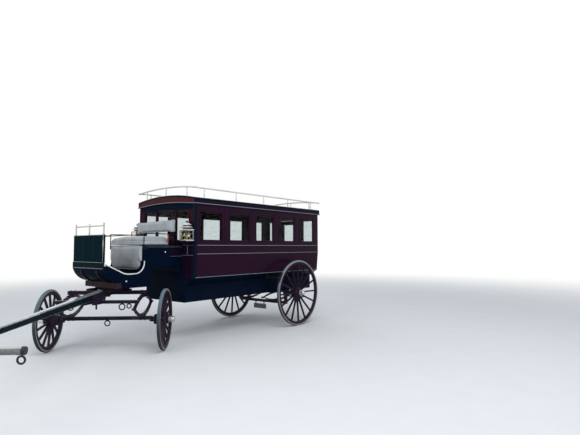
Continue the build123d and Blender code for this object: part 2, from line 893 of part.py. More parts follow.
def boot_profile():
    """Side outline of the boot: seat box, footwell edge, toe, belly, bed and the arch behind it."""
    edge_level = foot_floor + 8
    edge = FilletPolyline(
        (seat_front, seat_top), (seat_front - 10, edge_level), (toe_start, edge_level), (dash_front, dash_base),
        radius=[heel_round, toe_round],
    )
    toe = Line((dash_front, dash_base), (dash_front, toe_bottom))
    belly = ThreePointArc((dash_front, toe_bottom), (dash_front - 70, (toe_bottom + transom_top) / 2 - 25),
                          (transom_face, transom_top))
    bed = Polyline((transom_face, transom_top), (transom_face, block_bottom), (block_rear, block_bottom))
    arch = FilletPolyline(
        (block_rear, block_bottom), (block_rear, arch_top), (arch_rear, arch_top), (arch_rear, panel_bottom),
        radius=[arch_corner, arch_corner],
    )
    back = Polyline((arch_rear, panel_bottom), (cabin_front, panel_bottom), (cabin_front, seat_top),
                    (seat_front, seat_top))
    return make_face(edge + toe + belly + bed + arch + back)


def boot_body():
    """The boot: boarded sides, seat box, footwell and the bed over the turntable."""
    inner = boot_half - boot_board
    solid = along_y(boot_profile(), -boot_half, boot_half)
    footwell = outline(
        (seat_front, seat_top + 1), (seat_front, foot_floor), (toe_start, foot_floor),
        (dash_front - boot_board, dash_base - 8), (dash_front - boot_board, seat_top + 1),
    )
    solid = solid - along_y(footwell, -inner, inner)
    seat_box = box(cabin_front + boot_board, seat_front - boot_board - 10, -inner, inner,
                   arch_top + boot_board, seat_top - boot_board)
    under_floor = box(block_rear + boot_board, transom_rear, -inner, inner,
                      block_bottom + boot_board, foot_floor - boot_board)
    bed = box(transom_rear, transom_face + 1, -inner, inner, block_bottom - 1, transom_top)
    return solid - seat_box - under_floor - bed


def footwell_trim():
    """Bright edging on both sides of the boot, along the footwell and the toe board."""
    profile = boot_profile()
    band = profile - offset(profile, amount=-trim_width)
    low, high = foot_floor - 3 * trim_width, dash_base + trim_width
    near, far = seat_front - 2 * trim_width, dash_front + trim_width
    window = outline((near, low), (toe_start, low), (far, dash_base - 2 * trim_width), (far, high), (near, high))
    return both_sides(along_y(band & window, boot_half, boot_half + trim_proud))


def transom():
    """The bed that takes the kingpin, the cross beam in front and two stays up under the toe board."""
    inner = boot_half - boot_board - soft_gap
    bed = box(transom_rear + soft_gap, transom_face, -inner, inner, block_bottom, transom_top - soft_gap)
    beam = box(transom_face, transom_front, -boot_half, boot_half, block_bottom, transom_top - soft_gap)
    hole = upright_pipe(wheelbase, 0, block_bottom - 1, transom_top + 1, kingpin_radius + ring_gap)
    profile = boot_profile()
    band = offset(profile, amount=stay_thickness + soft_gap) - offset(profile, amount=soft_gap)
    near, far, low, high = transom_face + 4, dash_front - 8, transom_top - 3 * stay_thickness, toe_bottom - 10
    window = outline((near, low), (far, low), (far, high), (far - 110, high), (near, transom_top + 20))
    stay = along_y(band & window, stay_y - stay_width / 2, stay_y + stay_width / 2)
    return joined([bed, beam, both_sides(stay)]) - hole


def dash_panel():
    """Dash board of three boards with grooves between them."""
    solid = box(dash_front - boot_board, dash_front, -dash_half, dash_half, dash_base, dash_top)
    pitch = 2 * dash_half / (groove_count + 1)
    for k in range(groove_count):
        y = -dash_half + pitch * (k + 1)
        solid = solid - box(dash_front - groove_depth, dash_front + 1, y - groove_width / 2,
                            y + groove_width / 2, dash_base + groove_margin, dash_top - groove_margin)
    return solid


def dash_trim():
    """Light frame on the front of the dash board."""
    low, high = dash_base, dash_top
    frame = box(dash_front, dash_front + trim_proud, -dash_half, dash_half, low, high)
    half = dash_half - moulding_width
    return frame - box(dash_front - 1, dash_front + trim_proud + 1, -half, half,
                       low + moulding_width, high - moulding_width)


def dash_rail():
    """Bright rail on the dash: three posts with balls and a cross rod."""
    x = dash_front - boot_board / 2
    post_y = dash_half - dash_post_inset
    shapes = []
    for y in (-post_y, 0.0, post_y):
        shapes.append(upright_pipe(x, y, dash_top, dash_top + dash_post_lift, rod_radius + 1.5))
        shapes.append(upright_pipe(x, y, dash_top, dash_top + 10, rod_radius + 6))
        shapes.append(Pos(x, y, dash_top + dash_post_lift + 6) * Sphere(rod_radius + 4))
    level = dash_top + dash_rail_lift
    shapes.append(rod((x, -post_y, level), (x, post_y, level), rod_radius))
    return joined(shapes)


def seat_irons():
    """Seat rails, the arm rails on to the dash, their posts and the uprights that carry the backrest."""
    upright_front = back_front - back_thickness - soft_gap
    upright_rear = upright_front - upright_thickness
    middle = (upright_front + upright_rear) / 2
    post_x = seat_front + 5
    rail_y = boot_half + seat_rail_out
    upright_y = boot_half - upright_inset
    post_low = seat_top - 60
    rail = rod_path([(post_x, rail_y, post_low), (post_x, rail_y, seat_rail_height),
                     (middle, rail_y, seat_rail_height), (middle, upright_y, seat_rail_height)], rod_radius - 1)
    plate = box(post_x - 60, post_x + 9, boot_half + moulding_proud, rail_y, post_low, seat_top - moulding_width)
    plate = plate + box(post_x - 60, post_x + 9, boot_half, rail_y, post_low, seat_top - moulding_width - 1)
    upright = box(upright_rear, upright_front, upright_y - upright_width / 2, upright_y + upright_width / 2,
                  seat_top, back_top - 40)
    foot_x, foot_y, foot_z = dash_front - boot_board - soft_gap, dash_half - 20, dash_top - 24
    foot = rod((foot_x - 8, foot_y, foot_z), (foot_x, foot_y, foot_z), rod_radius + 7)
    arm = rod((foot_x - 6, foot_y, foot_z), (post_x, rail_y, seat_rail_height - 16), rod_radius - 2)
    return both_sides(joined([rail, plate, upright, arm, foot]))


def seat_cushion():
    """Driver's seat cushion."""
    low = seat_top + soft_gap
    half = boot_half - seat_inset
    solid = box(seat_rear, seat_front + apron_thickness + soft_gap, -half, half, low, low + seat_cushion_height)
    return fillet(solid.edges().group_by(Axis.Z)[-1], seat_round)


def seat_apron():
    """Upholstered apron down the seat box's front, its lower corners rounded."""
    half = boot_half - boot_board - 2
    low = seat_top - apron_height
    face = Pos(0, (low + seat_top) / 2) * Rectangle(2 * half, apron_height)
    face = fillet(face.vertices().group_by(Axis.Y)[0], apron_corner)
    front = seat_front + soft_gap
    return along_x(face, front, front + apron_thickness)


def seat_back():
    """Backrest cushion."""
    half = boot_half + back_overhang
    solid = box(back_front - back_thickness, back_front, -half, half, back_bottom, back_top)
    return fillet(solid.edges().group_by(Axis.X)[-1], back_round)


# Lamps

def lamp():
    """Left carriage lamp: base, four corner posts, tiered hood, candle and wall brackets."""
    half = lamp_size / 2
    x, y = lamp_x, lamp_y
    base = box(x - half, x + half, y - half, y + half, lamp_bottom, lamp_bottom + lamp_plate)
    cap = box(x - half, x + half, y - half, y + half, lamp_glass_top - lamp_plate, lamp_glass_top)
    edge = half - lamp_frame / 2
    posts = [Pos(x + a * edge, y + b * edge, (lamp_bottom + lamp_glass_top) / 2)
             * Box(lamp_frame, lamp_frame, lamp_glass_height) for a in (-1, 1) for b in (-1, 1)]
    tiers = [
        # half size below, half size above, bottom, top, as shares of the lamp and the hood
        (0.55, 0.55, 0.00, 0.20),
        (0.90, 0.62, 0.20, 0.32),
        (0.60, 0.48, 0.32, 0.49),
        (0.72, 0.22, 0.49, 0.76),
        (0.22, 0.16, 0.76, 1.00),
    ]
    hood = []
    for below, above, low, high in tiers:
        faces = [Rectangle(2 * half * below, 2 * half * below),
                 Pos(0, 0, (high - low) * hood_height) * Rectangle(2 * half * above, 2 * half * above)]
        hood.append(Pos(x, y, lamp_glass_top + low * hood_height) * loft(faces))
    foot = lamp_bottom + lamp_plate
    candle = upright_pipe(x, y, foot, foot + candle_height, candle_radius)
    bracket = box(cabin_front, x - half, y - 20, y + 20, lamp_bottom, lamp_bottom + lamp_plate)
    stem = Pos(x, y, lamp_bottom - 22) * loft([Rectangle(half * 0.5, half * 0.5),
                                               Pos(0, 0, 22) * Rectangle(half, half)])
    top_bracket = box(cabin_front, x - half, y - 14, y + 14, lamp_glass_top - lamp_plate, lamp_glass_top)
    return joined([base, cap, candle, bracket, stem, top_bracket] + posts + hood)


def lamp_pane_box():
    """The lamp's four panes between its posts."""
    half = lamp_size / 2 - 3
    low, high = lamp_bottom + lamp_plate + soft_gap, lamp_glass_top - lamp_plate - soft_gap
    span = half - lamp_frame
    panes = []
    for side in (-1, 1):
        near, far = sorted((side * half, side * (half - 3)))
        panes.append(box(lamp_x + near, lamp_x + far, lamp_y - span, lamp_y + span, low, high))
        panes.append(box(lamp_x - span, lamp_x + span, lamp_y + near, lamp_y + far, low, high))
    return joined(panes)


# Rear running gear

def rear_axle():
    """Dropped rear axle, cranked up to the wheel arms."""
    level = rear_wheel_radius
    half = axle_section / 2
    low = rear_axle_top - axle_section
    bar = box(-half, half, -rear_crank_half - half, rear_crank_half + half, low, rear_axle_top)
    crank = box(-half, half, rear_crank_half - half, rear_crank_half + half, low, level + half)
    return bar + both_sides(crank + axle_arm(rear_track, level, rear_crank_half))


def rear_springs():
    """Two elliptic springs between the dropped axle and the floor."""
    spring = elliptic_spring(rear_axle_top, rear_spring_height, rear_spring_half_length, spring_width)
    return both_sides(Pos(0, rear_spring_y, 0) * spring)


def rear_plate():
    """Blank plate hung under the rear axle by two straps."""
    top = rear_axle_top - axle_section - plate_hanger
    half = plate_thickness / 2
    plate = box(-half, half, -plate_offset - plate_half, -plate_offset + plate_half, top - plate_height, top)
    straps = []
    for side in (-1, 1):
        y = -plate_offset + side * plate_half * 2 / 3
        straps.append(box(-half, half, y - 12, y + 12, top, top + plate_hanger))
    return joined([plate] + straps)


def brake_gear():
    """Brake shoe, arm and hanger in front of each rear wheel."""
    radius = rear_wheel_radius
    inner = radius + brake_clearance
    tread_x = sqrt(inner**2 - brake_above_axle**2)
    y = rear_track / 2
    half = tyre_width / 2 + 2
    ring = Pos(0, radius) * (Circle(inner + brake_shoe_thickness) - Circle(inner))
    window = Pos(tread_x + brake_clearance, brake_level) * Rectangle(3 * brake_shoe_thickness, brake_shoe_length)
    shoe = along_y(ring & window, y - half, y + half)
    arm_x = tread_x + 1.5 * brake_shoe_thickness
    low, high = brake_level - brake_arm / 2, brake_level + brake_arm / 2
    arm = box(arm_x - 20, arm_x + 20, panel_half - 40, y + half, low, high)
    hanger = box(arm_x - 30, arm_x + 30, panel_half - 70, panel_half - 40, low - 10, panel_bottom + 10)
    block = arm + hanger - shoulder_wedge()
    return both_sides(shoe + block)


def shoulder_wedge():
    """What lies inside the cabin's shoulder and side panel, to trim the brake hangers to it."""
    face = outline((0, shoulder_low), (well_half, shoulder_low), (panel_half, panel_bottom),
                   (panel_half, panel_bottom + 60), (0, panel_bottom + 60))
    return along_x(face, cabin_rear, cabin_front)


# Fore-carriage, with the kingpin at X = 0 and the pole along +X

def front_axle():
    """Square front axle with its arms, and the ring that hangs under its middle."""
    half = axle_section / 2
    inner = front_track / 2 - hub_inner - collar_gap - 20
    low = front_axle_top - axle_section
    bar = box(-half, half, -inner, inner, low, front_axle_top)
    arms = both_sides(axle_arm(front_track, front_wheel_radius, inner - 40))
    eye = box(-7, 7, -14, 14, low - 16, low)
    return joined([bar, arms, eye, hanging_ring(0, 0, low - 10, axle_ring_radius)])


def front_springs():
    """Two elliptic springs between the front axle and the bolster."""
    spring = elliptic_spring(front_axle_top, front_spring_height, spring_half_length, spring_width)
    return both_sides(Pos(0, spring_half_span, 0) * spring)


def turntable_frame():
    """Bolster, lower ring and futchells, with the jaws that hold the pole."""
    half = bolster_width / 2
    reach = spring_half_span + bolster_overhang
    bolster = box(-half, half, -reach, reach, bolster_bottom, bolster_top)
    top = bolster_top + ring_thickness
    ring = along_z(Circle(ring_radius) - Circle(ring_radius - ring_width), bolster_top, top)
    cross = box(20 - ring_radius, ring_radius - 20, -half / 2, half / 2, bolster_bottom, bolster_top)
    rails = []
    for side in (-1, 1):
        y0, y1 = side * futchell_y - futchell_width / 2, side * futchell_y + futchell_width / 2
        rails.append(box(-futchell_tail, jaw_start + 5, y0, y1, bolster_bottom, bolster_top))
        face = outline((jaw_start, bolster_bottom), (jaw_start + jaw_slope, jaw_bottom),
                       (jaw_end, jaw_bottom + 18), (jaw_end, jaw_top - 14),
                       (jaw_end - 60, jaw_top), (jaw_start, jaw_top))
        rails.append(along_y(face, y0, y1))
    tail_bar = box(-futchell_tail - 35, -futchell_tail, -tail_bar_half, tail_bar_half,
                   bolster_bottom + 5, bolster_top - 5)
    hole = upright_pipe(0, 0, bolster_bottom - 1, top + 1, kingpin_radius + running_gap)
    solid = joined([bolster, ring, cross, tail_bar] + rails) - hole
    return solid - splinter_slot() - pin_hole()


def splinter_slot():
    """The splinter bar's place through the jaws."""
    half = splinter_width / 2
    reach = futchell_y + 2 * futchell_width
    return box(splinter_s - half, splinter_s + half, -reach, reach, splinter_bottom, splinter_bottom + splinter_depth)


def splinter_bar():
    """Cross bar for the traces, with two staple rings near each end and the drop pin in its middle."""
    half = splinter_width / 2
    taper = 60
    face = outline(
        (-splinter_half, -splinter_end), (-splinter_half + taper, -half), (splinter_half - taper, -half),
        (splinter_half, -splinter_end), (splinter_half, splinter_end), (splinter_half - taper, half),
        (-splinter_half + taper, half), (-splinter_half, splinter_end),
    )
    bar = Pos(splinter_s, 0, 0) * Rot(0, 0, 90) * along_z(face, splinter_bottom, splinter_bottom + splinter_depth)
    fittings = []
    for inset, size in ((inner_trace_inset, inner_trace_radius), (outer_trace_inset, outer_trace_radius)):
        y = splinter_half - inset
        staple = box(splinter_s - 8, splinter_s + 8, y - 12, y + 12, splinter_bottom - 14, splinter_bottom)
        fittings.append(staple + hanging_ring(splinter_s, y, splinter_bottom - 8, size))
    drop = upright_pipe(splinter_s, 0, splinter_bottom - drop_pin_length, splinter_bottom, drop_pin_radius)
    return joined([bar, drop, both_sides(joined(fittings))])


def hanging_ring(s, y, top, size):
    """A ring of round iron that hangs from a height, its plane across the vehicle."""
    return Pos(s, y, top - size) * Rot(0, 0, 90) * Rot(90, 0, 0) * Torus(size, ring_wire)


def pole_top(s):
    """Height of the pole's upper edge at a distance ahead of the kingpin."""
    return pole_top_at_butt - pole_slope * (s - pole_butt)


def pole_section(s):
    """Width and depth of the pole at a distance ahead of the kingpin."""
    share = (s - pole_butt) / pole_length
    width = pole_butt_width + share * (pole_tip_width - pole_butt_width)
    depth = pole_butt_depth + share * (pole_tip_depth - pole_butt_depth)
    return width, depth


def pole_face(s):
    """The pole's eight-sided section."""
    width, depth = pole_section(s)
    face = chamfer(Rectangle(width, depth).vertices(), min(width, depth) * 0.16)
    return Plane.YZ.offset(s) * Pos(0, pole_top(s) - depth / 2) * face


def yoke_level():
    """Height of the neck yoke's middle, just under the pole."""
    return pole_top(yoke_s) - pole_section(yoke_s)[1] - yoke_gap - 3 - yoke_radius


def pole():
    """Tapered wooden pole, held between the jaws and sloping gently down to its tip."""
    shaft = loft([pole_face(pole_butt), pole_face(pole_tip)], ruled=True)
    bolt = upright_pipe(yoke_s, 0, yoke_level(), pole_top(yoke_s) + 20, yoke_bolt_radius + ring_gap)
    return shaft - bolt - pin_hole()


def pole_irons():
    """Strap on the pole's tip with the bolt that carries the neck yoke, and the pin through the jaws."""
    rear, front = yoke_s - 90, pole_tip
    strap = along_y(outline((rear, pole_top(rear) + soft_gap), (front, pole_top(front) + soft_gap),
                            (front, pole_top(front) + pole_strap), (rear, pole_top(rear) + pole_strap)), -16, 16)
    top, low = pole_top(yoke_s) + pole_strap, yoke_level() - yoke_radius - 20
    head = upright_pipe(yoke_s, 0, top - 3, top + 12, yoke_bolt_radius + 6)
    shank = upright_pipe(yoke_s, 0, low, top, yoke_bolt_radius)
    nut = upright_pipe(yoke_s, 0, low, low + 16, yoke_bolt_radius + 7)
    return joined([strap, head, shank, nut, jaw_pin()])


def jaw_pin():
    """Pin through the jaws and the pole, with a head at each end."""
    reach = futchell_y + futchell_width / 2
    bolt = rod((pin_s, -reach - 14, pin_level), (pin_s, reach + 14, pin_level), pole_pin_radius)
    heads = [rod((pin_s, side * (reach + soft_gap), pin_level), (pin_s, side * (reach + 12), pin_level),
                 pin_head_radius) for side in (-1, 1)]
    return joined([bolt] + heads)


def pin_hole():
    """The hole for that pin."""
    reach = futchell_y + futchell_width
    return rod((pin_s, -reach, pin_level), (pin_s, reach, pin_level), pole_pin_radius + ring_gap)


def neck_yoke():
    """Neck yoke: a round bar under the pole's tip with end ferrules and hanging rings."""
    level = yoke_level()
    collar = yoke_radius + 3
    centre = box(yoke_s - 34, yoke_s + 34, -36, 36, level - collar, level + collar)
    rings = []
    for side in (-1, 1):
        y = side * (yoke_half - yoke_ring_inset)
        stem = upright_pipe(yoke_s, y, level - yoke_radius - 1.5 * ring_wire, level, 1.3 * ring_wire)
        rings.append(stem + hanging_ring(yoke_s, y, level - yoke_radius - ring_wire, yoke_ring_radius))
    hole = upright_pipe(yoke_s, 0, level - 2 * collar, level + 2 * collar, yoke_bolt_radius + running_gap)
    return joined([spun_bar(), centre] + rings) - hole


def spun_bar():
    """The yoke's bar, thicker in the middle, with a ferrule at each end."""
    mid, end = yoke_radius, yoke_radius * 0.9
    half = yoke_half
    ferrule = 2 * yoke_ring_inset
    thick = 0.26 * half
    profile = outline(
        (0, -half), (end, -half), (end + 3, -half + 4), (end + 3, -half + ferrule), (end, -half + ferrule + 2),
        (mid, -thick), (mid, thick), (end, half - ferrule - 2), (end + 3, half - ferrule), (end + 3, half - 4),
        (end, half), (0, half),
    )
    return Pos(yoke_s, 0, yoke_level()) * revolve(profile, axis=Axis.Y)


def upper_ring():
    """The fixed half of the fifth wheel: a ring under the boot, with its cross bars."""
    low = bolster_top + ring_thickness + ring_gap
    ring = along_z(Circle(ring_radius) - Circle(ring_radius - ring_width), low, low + ring_thickness)
    across = box(-45, 45, 5 - ring_radius, ring_radius - 5, low, block_bottom)
    forward = box(5 - ring_radius, 50, -30, 30, low, block_bottom)
    hole = upright_pipe(0, 0, low - 1, block_bottom + 1, kingpin_radius + ring_gap)
    return Pos(wheelbase, 0, 0) * (joined([ring, across, forward]) - hole)


def kingpin():
    """Kingpin down through transom and bolster, with a nut below."""
    low = bolster_bottom - nut_height - 2
    pin = upright_pipe(wheelbase, 0, low, transom_top, kingpin_radius)
    nut = upright_pipe(wheelbase, 0, low, low + nut_height, kingpin_radius + nut_step)
    return pin + nut


def glass_panes():
    """Panes of the four walls."""
    side = joined([pane_y(x, window_width, window_sill, window_top) for x in window_centres()])
    front = joined([pane_x(y, cabin_front, 1, width, window_sill, window_top + rise)
                    for y, width, rise in front_windows])
    rear = both_sides(pane_x(rear_window_y, cabin_rear, -1, rear_window_width, window_sill, window_top))
    return side, front, rear


def on_fore_carriage(shape):
    """Turns a piece made about the kingpin to where the fore-carriage is parked."""
    return Pos(wheelbase, 0, 0) * Rot(0, 0, parked_turn) * shape


def place_wheel(shape, x, y, z):
    """Puts a wheel piece on its arm, its outer face away from the middle."""
    turn = 0 if y > 0 else 180
    return Pos(x, y, z) * Rot(0, 0, turn) * shape


def all_pieces():
    """Every node by name, in the frame of the rear axle."""
    side_glass, front_glass, rear_glass = glass_panes()
    flip = Plane.XZ
    nodes = {
        "cabin_floor": cabin_floor(),
        "cabin_side_left": side_wall(),
        "cabin_side_right": mirror(side_wall(), about=flip),
        "cabin_front_wall": front_wall(),
        "cabin_rear_wall": rear_wall(),
        "roof": roof(),
        "cornice": cornice(),
        "mouldings": mouldings(),
        "corner_pillars": corner_pillars(),
        "glass_left": side_glass,
        "glass_right": mirror(side_glass, about=flip),
        "glass_front": front_glass,
        "glass_rear": rear_glass,
        "bench_left": bench_frame(),
        "bench_right": mirror(bench_frame(), about=flip),
        "bench_cushion_left": bench_cushion(),
        "bench_cushion_right": mirror(bench_cushion(), about=flip),
        "roof_rail": roof_rail(),
        "boot_body": boot_body(),
        "footwell_trim": footwell_trim(),
        "transom": transom(),
        "dash_panel": dash_panel(),
        "dash_trim": dash_trim(),
        "dash_rail": dash_rail(),
        "seat_irons": seat_irons(),
        "seat_cushion": seat_cushion(),
        "seat_apron": seat_apron(),
        "seat_back": seat_back(),
        "lamp_left": lamp(),
        "lamp_right": mirror(lamp(), about=flip),
        "lamp_glass": both_sides(lamp_pane_box()),
        "rear_door": rear_door(),
        "rear_door_glass": door_glass(),
        "rear_step": rear_step(),
        "grab_handles": grab_handles(),
        "rear_axle": rear_axle(),
        "rear_springs": rear_springs(),
        "rear_plate": rear_plate(),
        "brake_gear": brake_gear(),
        "upper_ring": upper_ring(),
        "kingpin": kingpin(),
    }
    fore = {
        "front_axle": front_axle(),
        "front_springs": front_springs(),
        "turntable_frame": turntable_frame(),
        "splinter_bar": splinter_bar(),
        "pole": pole(),
        "pole_irons": pole_irons(),
        "neck_yoke": neck_yoke(),
    }
    wheels = [
        # name, radius, spokes, half track, on the fore-carriage
        ("rear_left", rear_wheel_radius, rear_spokes, rear_track / 2, False),
        ("rear_right", rear_wheel_radius, rear_spokes, -rear_track / 2, False),
        ("front_left", front_wheel_radius, front_spokes, front_track / 2, True),
        ("front_right", front_wheel_radius, front_spokes, -front_track / 2, True),
    ]
    for name, radius, spokes, y, steered in wheels:
        pieces = {"wheel": wheel_wood(radius, spokes), "tyre": wheel_tyre(radius), "hub_cap": wheel_cap()}
        for kind, shape in pieces.items():
            placed = place_wheel(shape, 0, y, radius)
            (fore if steered else nodes)[f"{kind}_{name}"] = placed
    nodes.update({name: on_fore_carriage(shape) for name, shape in fore.items()})
    return nodes


pieces = all_pieces()
boxes = [shape.bounding_box() for shape in pieces.values()]
middle_x = (min(b.min.X for b in boxes) + max(b.max.X for b in boxes)) / 2
middle_y = (min(b.min.Y for b in boxes) + max(b.max.Y for b in boxes)) / 2
for name, shape in pieces.items():
    export_step(Pos(-middle_x, -middle_y, 0) * shape, f"parts/{name}.step")

# Places that a joint or a mount uses, in the finished frame
ahead = (cos(radians(parked_turn)), sin(radians(parked_turn)))


def fore_place(s, y, z):
    """A point of the fore-carriage in the finished frame."""
    x = wheelbase + s * ahead[0] - y * ahead[1]
    return round(x - middle_x, 3), round(s * ahead[1] + y * ahead[0] - middle_y, 3), z


print("origin", round(-middle_x, 3), round(-middle_y, 3))
print("front wheel left", fore_place(0, front_track / 2, front_wheel_radius))
print("front wheel right", fore_place(0, -front_track / 2, front_wheel_radius))
print("neck yoke", fore_place(yoke_s, 0, yoke_level()))
print("door hinge", round(cabin_rear - hinge_radius - 1 - middle_x, 3), round(hinge_pin_y() - middle_y, 3))
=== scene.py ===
"""Looks of a horse-drawn hotel omnibus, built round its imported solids.

Metres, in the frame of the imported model: X forward, Y to the left, Z up.
Places on the coach are given from the point on the ground under the rear axle's middle,
and places on the fore-carriage from its kingpin, with the pole straight ahead.
"""
import json
import math

import bmesh
import bpy
from bpy.props import FloatProperty, FloatVectorProperty, IntProperty, PointerProperty
from mathutils import Matrix, Vector, noise
from mathutils.bvhtree import BVHTree


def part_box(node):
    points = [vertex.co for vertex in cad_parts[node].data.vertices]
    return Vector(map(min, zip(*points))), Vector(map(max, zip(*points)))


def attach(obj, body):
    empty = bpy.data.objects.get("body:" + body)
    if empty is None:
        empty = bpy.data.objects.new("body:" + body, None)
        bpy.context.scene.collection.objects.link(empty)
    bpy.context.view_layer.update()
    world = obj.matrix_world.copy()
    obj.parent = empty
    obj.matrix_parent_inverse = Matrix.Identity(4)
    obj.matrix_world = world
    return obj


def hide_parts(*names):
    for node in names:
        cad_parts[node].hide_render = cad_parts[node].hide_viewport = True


bl_info = {
    "name": "Hotel omnibus",
    "version": (1, 0, 0),
    "blender": (4, 5, 0),
    "location": "View3D > Sidebar > Omnibus",
    "description": "Paint, trim, fittings and upholstery of a horse-drawn omnibus",
    "category": "Object",
}

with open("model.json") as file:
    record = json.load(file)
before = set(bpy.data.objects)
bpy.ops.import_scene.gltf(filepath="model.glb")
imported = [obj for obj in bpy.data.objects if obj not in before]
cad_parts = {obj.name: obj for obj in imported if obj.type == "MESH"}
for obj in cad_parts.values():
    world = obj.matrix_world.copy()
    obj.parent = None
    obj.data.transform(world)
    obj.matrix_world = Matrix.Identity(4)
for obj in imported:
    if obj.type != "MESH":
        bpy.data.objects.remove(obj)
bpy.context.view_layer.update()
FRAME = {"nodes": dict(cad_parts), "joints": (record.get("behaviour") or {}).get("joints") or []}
WHEELS = ("rear_left", "rear_right", "front_left", "front_right")


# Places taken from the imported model

def middle_of(node):
    low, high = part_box(node)
    return (low + high) / 2


def joint_of(child):
    return next(j for j in FRAME["joints"] if j["child"] == child)


REAR_LEFT = middle_of("tyre_rear_left")
REAR_RIGHT = middle_of("tyre_rear_right")
AXLE_FOOT = Vector((REAR_LEFT.x, (REAR_LEFT.y + REAR_RIGHT.y) / 2, 0.0))
KINGPIN = Vector(joint_of("fore_carriage")["pos_m"]) * Vector((1, 1, 0))
POLE_AHEAD = Vector(joint_of("neck_yoke")["pos_m"]) - KINGPIN
TURN = Matrix.Rotation(math.atan2(POLE_AHEAD.y, POLE_AHEAD.x), 3, "Z")


def on_coach(x, y, z):
    """A place on the coach, from the ground under the rear axle's middle."""
    return AXLE_FOOT + Vector((x, y, z))


def on_gear(s, l, z):
    """A place on the fore-carriage: ahead of the kingpin, to its left, and up."""
    return KINGPIN + TURN @ Vector((s, l, z))


def coach_box(node):
    """A node's box, measured from the rear axle's foot."""
    low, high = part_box(node)
    return low - AXLE_FOOT, high - AXLE_FOOT


# Sizes of the coach that the trim follows
SIDE_LOW, SIDE_HIGH = coach_box("cabin_side_left")
BOOT_HIGH = coach_box("boot_body")[1]
DASH_LOW, DASH_HIGH = coach_box("dash_panel")
SEAT_LOW, SEAT_HIGH = coach_box("seat_cushion")
APRON_LOW, APRON_HIGH = coach_box("seat_apron")
BACK_LOW, BACK_HIGH = coach_box("seat_back")
ROOF_LOW, ROOF_HIGH = coach_box("roof")
FLOOR_HIGH = coach_box("cabin_floor")[1]
CORNICE_LOW = coach_box("cornice")[0]
LAMP_LOW, LAMP_HIGH = coach_box("lamp_left")
WALL_HALF = SIDE_HIGH.y - 0.040     # from the middle to the inner faces of the cabin's sides
FRONT_ARCH = 0.036                  # rise of the cornice over the front windows
ROOF_RISE = 0.068                   # rise of the roof's crown
LAMP_HALF = 0.075                   # from a lamp's front to its middle
LAMP_HOOD = 0.127                   # height of a lamp's hood
LAMP_PANES = 0.090                  # from the foot of the hood down to the panes' middle
YOKE_FERRULE = 0.405                # from the yoke's middle to its ferrules
YOKE_DEPTH = 0.074                  # wood and ferrules of the yoke, above the rings
WINDOW_TOP = 2.030
BOOT_LINE_LOW, BOOT_LINE_TOP = 1.335, 1.477
BELT_LOW, BELT_TOP = 1.3655, 1.500
TOE_BOARD = 0.076                   # height of the toe board, under the dash board
BOOT_PANEL_END = (2.44, 2.70)       # where the maroon of the boot's sides fades out
FLOOR_MARGIN = 0.2095               # from the skirt's side to the bare floor inside
INNER_WOOD = (0.020, 0.015, 0.016, 1.0)
IRON_CHIP = (0.34, 0.36, 0.36)
CEILING = (0.016, 0.022, 0.030, 1.0)


class OmnibusSizes(bpy.types.PropertyGroup):
    sash_width: FloatProperty(name="Sash width", description="Width of the sash round each pane",
                              default=0.013, min=0.004, unit="LENGTH")
    bolt_radius: FloatProperty(name="Bolt radius", description="Radius of the running gear's bolt heads",
                               default=0.0085, min=0.002, unit="LENGTH")
    rear_spokes: IntProperty(name="Rear spokes", description="Spokes of a rear wheel, with bolts between",
                             default=16, min=0)
    front_spokes: IntProperty(name="Front spokes", description="Spokes of a front wheel, with bolts between",
                              default=14, min=0)
    welt_radius: FloatProperty(name="Welt radius", description="Radius of the welts on the driver's seat",
                               default=0.0042, min=0.001, unit="LENGTH")
    stitch_pitch: FloatProperty(name="Stitch pitch", description="Distance between stitches",
                                default=0.011, min=0.003, unit="LENGTH")
    remesh_size: FloatProperty(name="Remesh size", description="Voxel that padded pieces are remeshed with",
                               default=0.007, min=0.004, unit="LENGTH")
    pressure: FloatProperty(name="Pressure", description="Air pressure in the padded pieces", default=4.0,
                            min=0.0)


class OmnibusColours(bpy.types.PropertyGroup):
    panel: FloatVectorProperty(name="Panels", description="Deep maroon of the lower panels", subtype="COLOR",
                               default=(0.0180, 0.0038, 0.0150), min=0, max=1)
    front: FloatVectorProperty(name="Front panels", description="Russet of the front and its fascia",
                               subtype="COLOR", default=(0.062, 0.015, 0.0165), min=0, max=1)
    dark: FloatVectorProperty(name="Dark body", description="Blue-black of the boot, skirt and pillars",
                              subtype="COLOR", default=(0.0007, 0.0046, 0.0145), min=0, max=1)
    line: FloatVectorProperty(name="Lining", description="Pale grey of the mouldings", subtype="COLOR",
                              default=(0.30, 0.36, 0.44), min=0, max=1)
    rail: FloatVectorProperty(name="Roof rail", description="Off-white of the luggage rail", subtype="COLOR",
                              default=(0.68, 0.665, 0.61), min=0, max=1)
    dash: FloatVectorProperty(name="Dash", description="Dark green of the dash board", subtype="COLOR",
                              default=(0.0008, 0.0105, 0.0165), min=0, max=1)
    pole: FloatVectorProperty(name="Pole", description="Dark green of the pole", subtype="COLOR",
                              default=(0.0020, 0.0085, 0.0125), min=0, max=1)
    gear: FloatVectorProperty(name="Running gear", description="Purple-brown of the wheels and axles",
                              subtype="COLOR", default=(0.0155, 0.0080, 0.0225), min=0, max=1)
    rubber: FloatVectorProperty(name="Tyres", description="Weathered grey of the rubber", subtype="COLOR",
                                default=(0.088, 0.130, 0.170), min=0, max=1)
    seat: FloatVectorProperty(name="Seat", description="Pale grey of the driver's cushions", subtype="COLOR",
                              default=(0.34, 0.37, 0.385), min=0, max=1)


# Shader node groups that several materials share

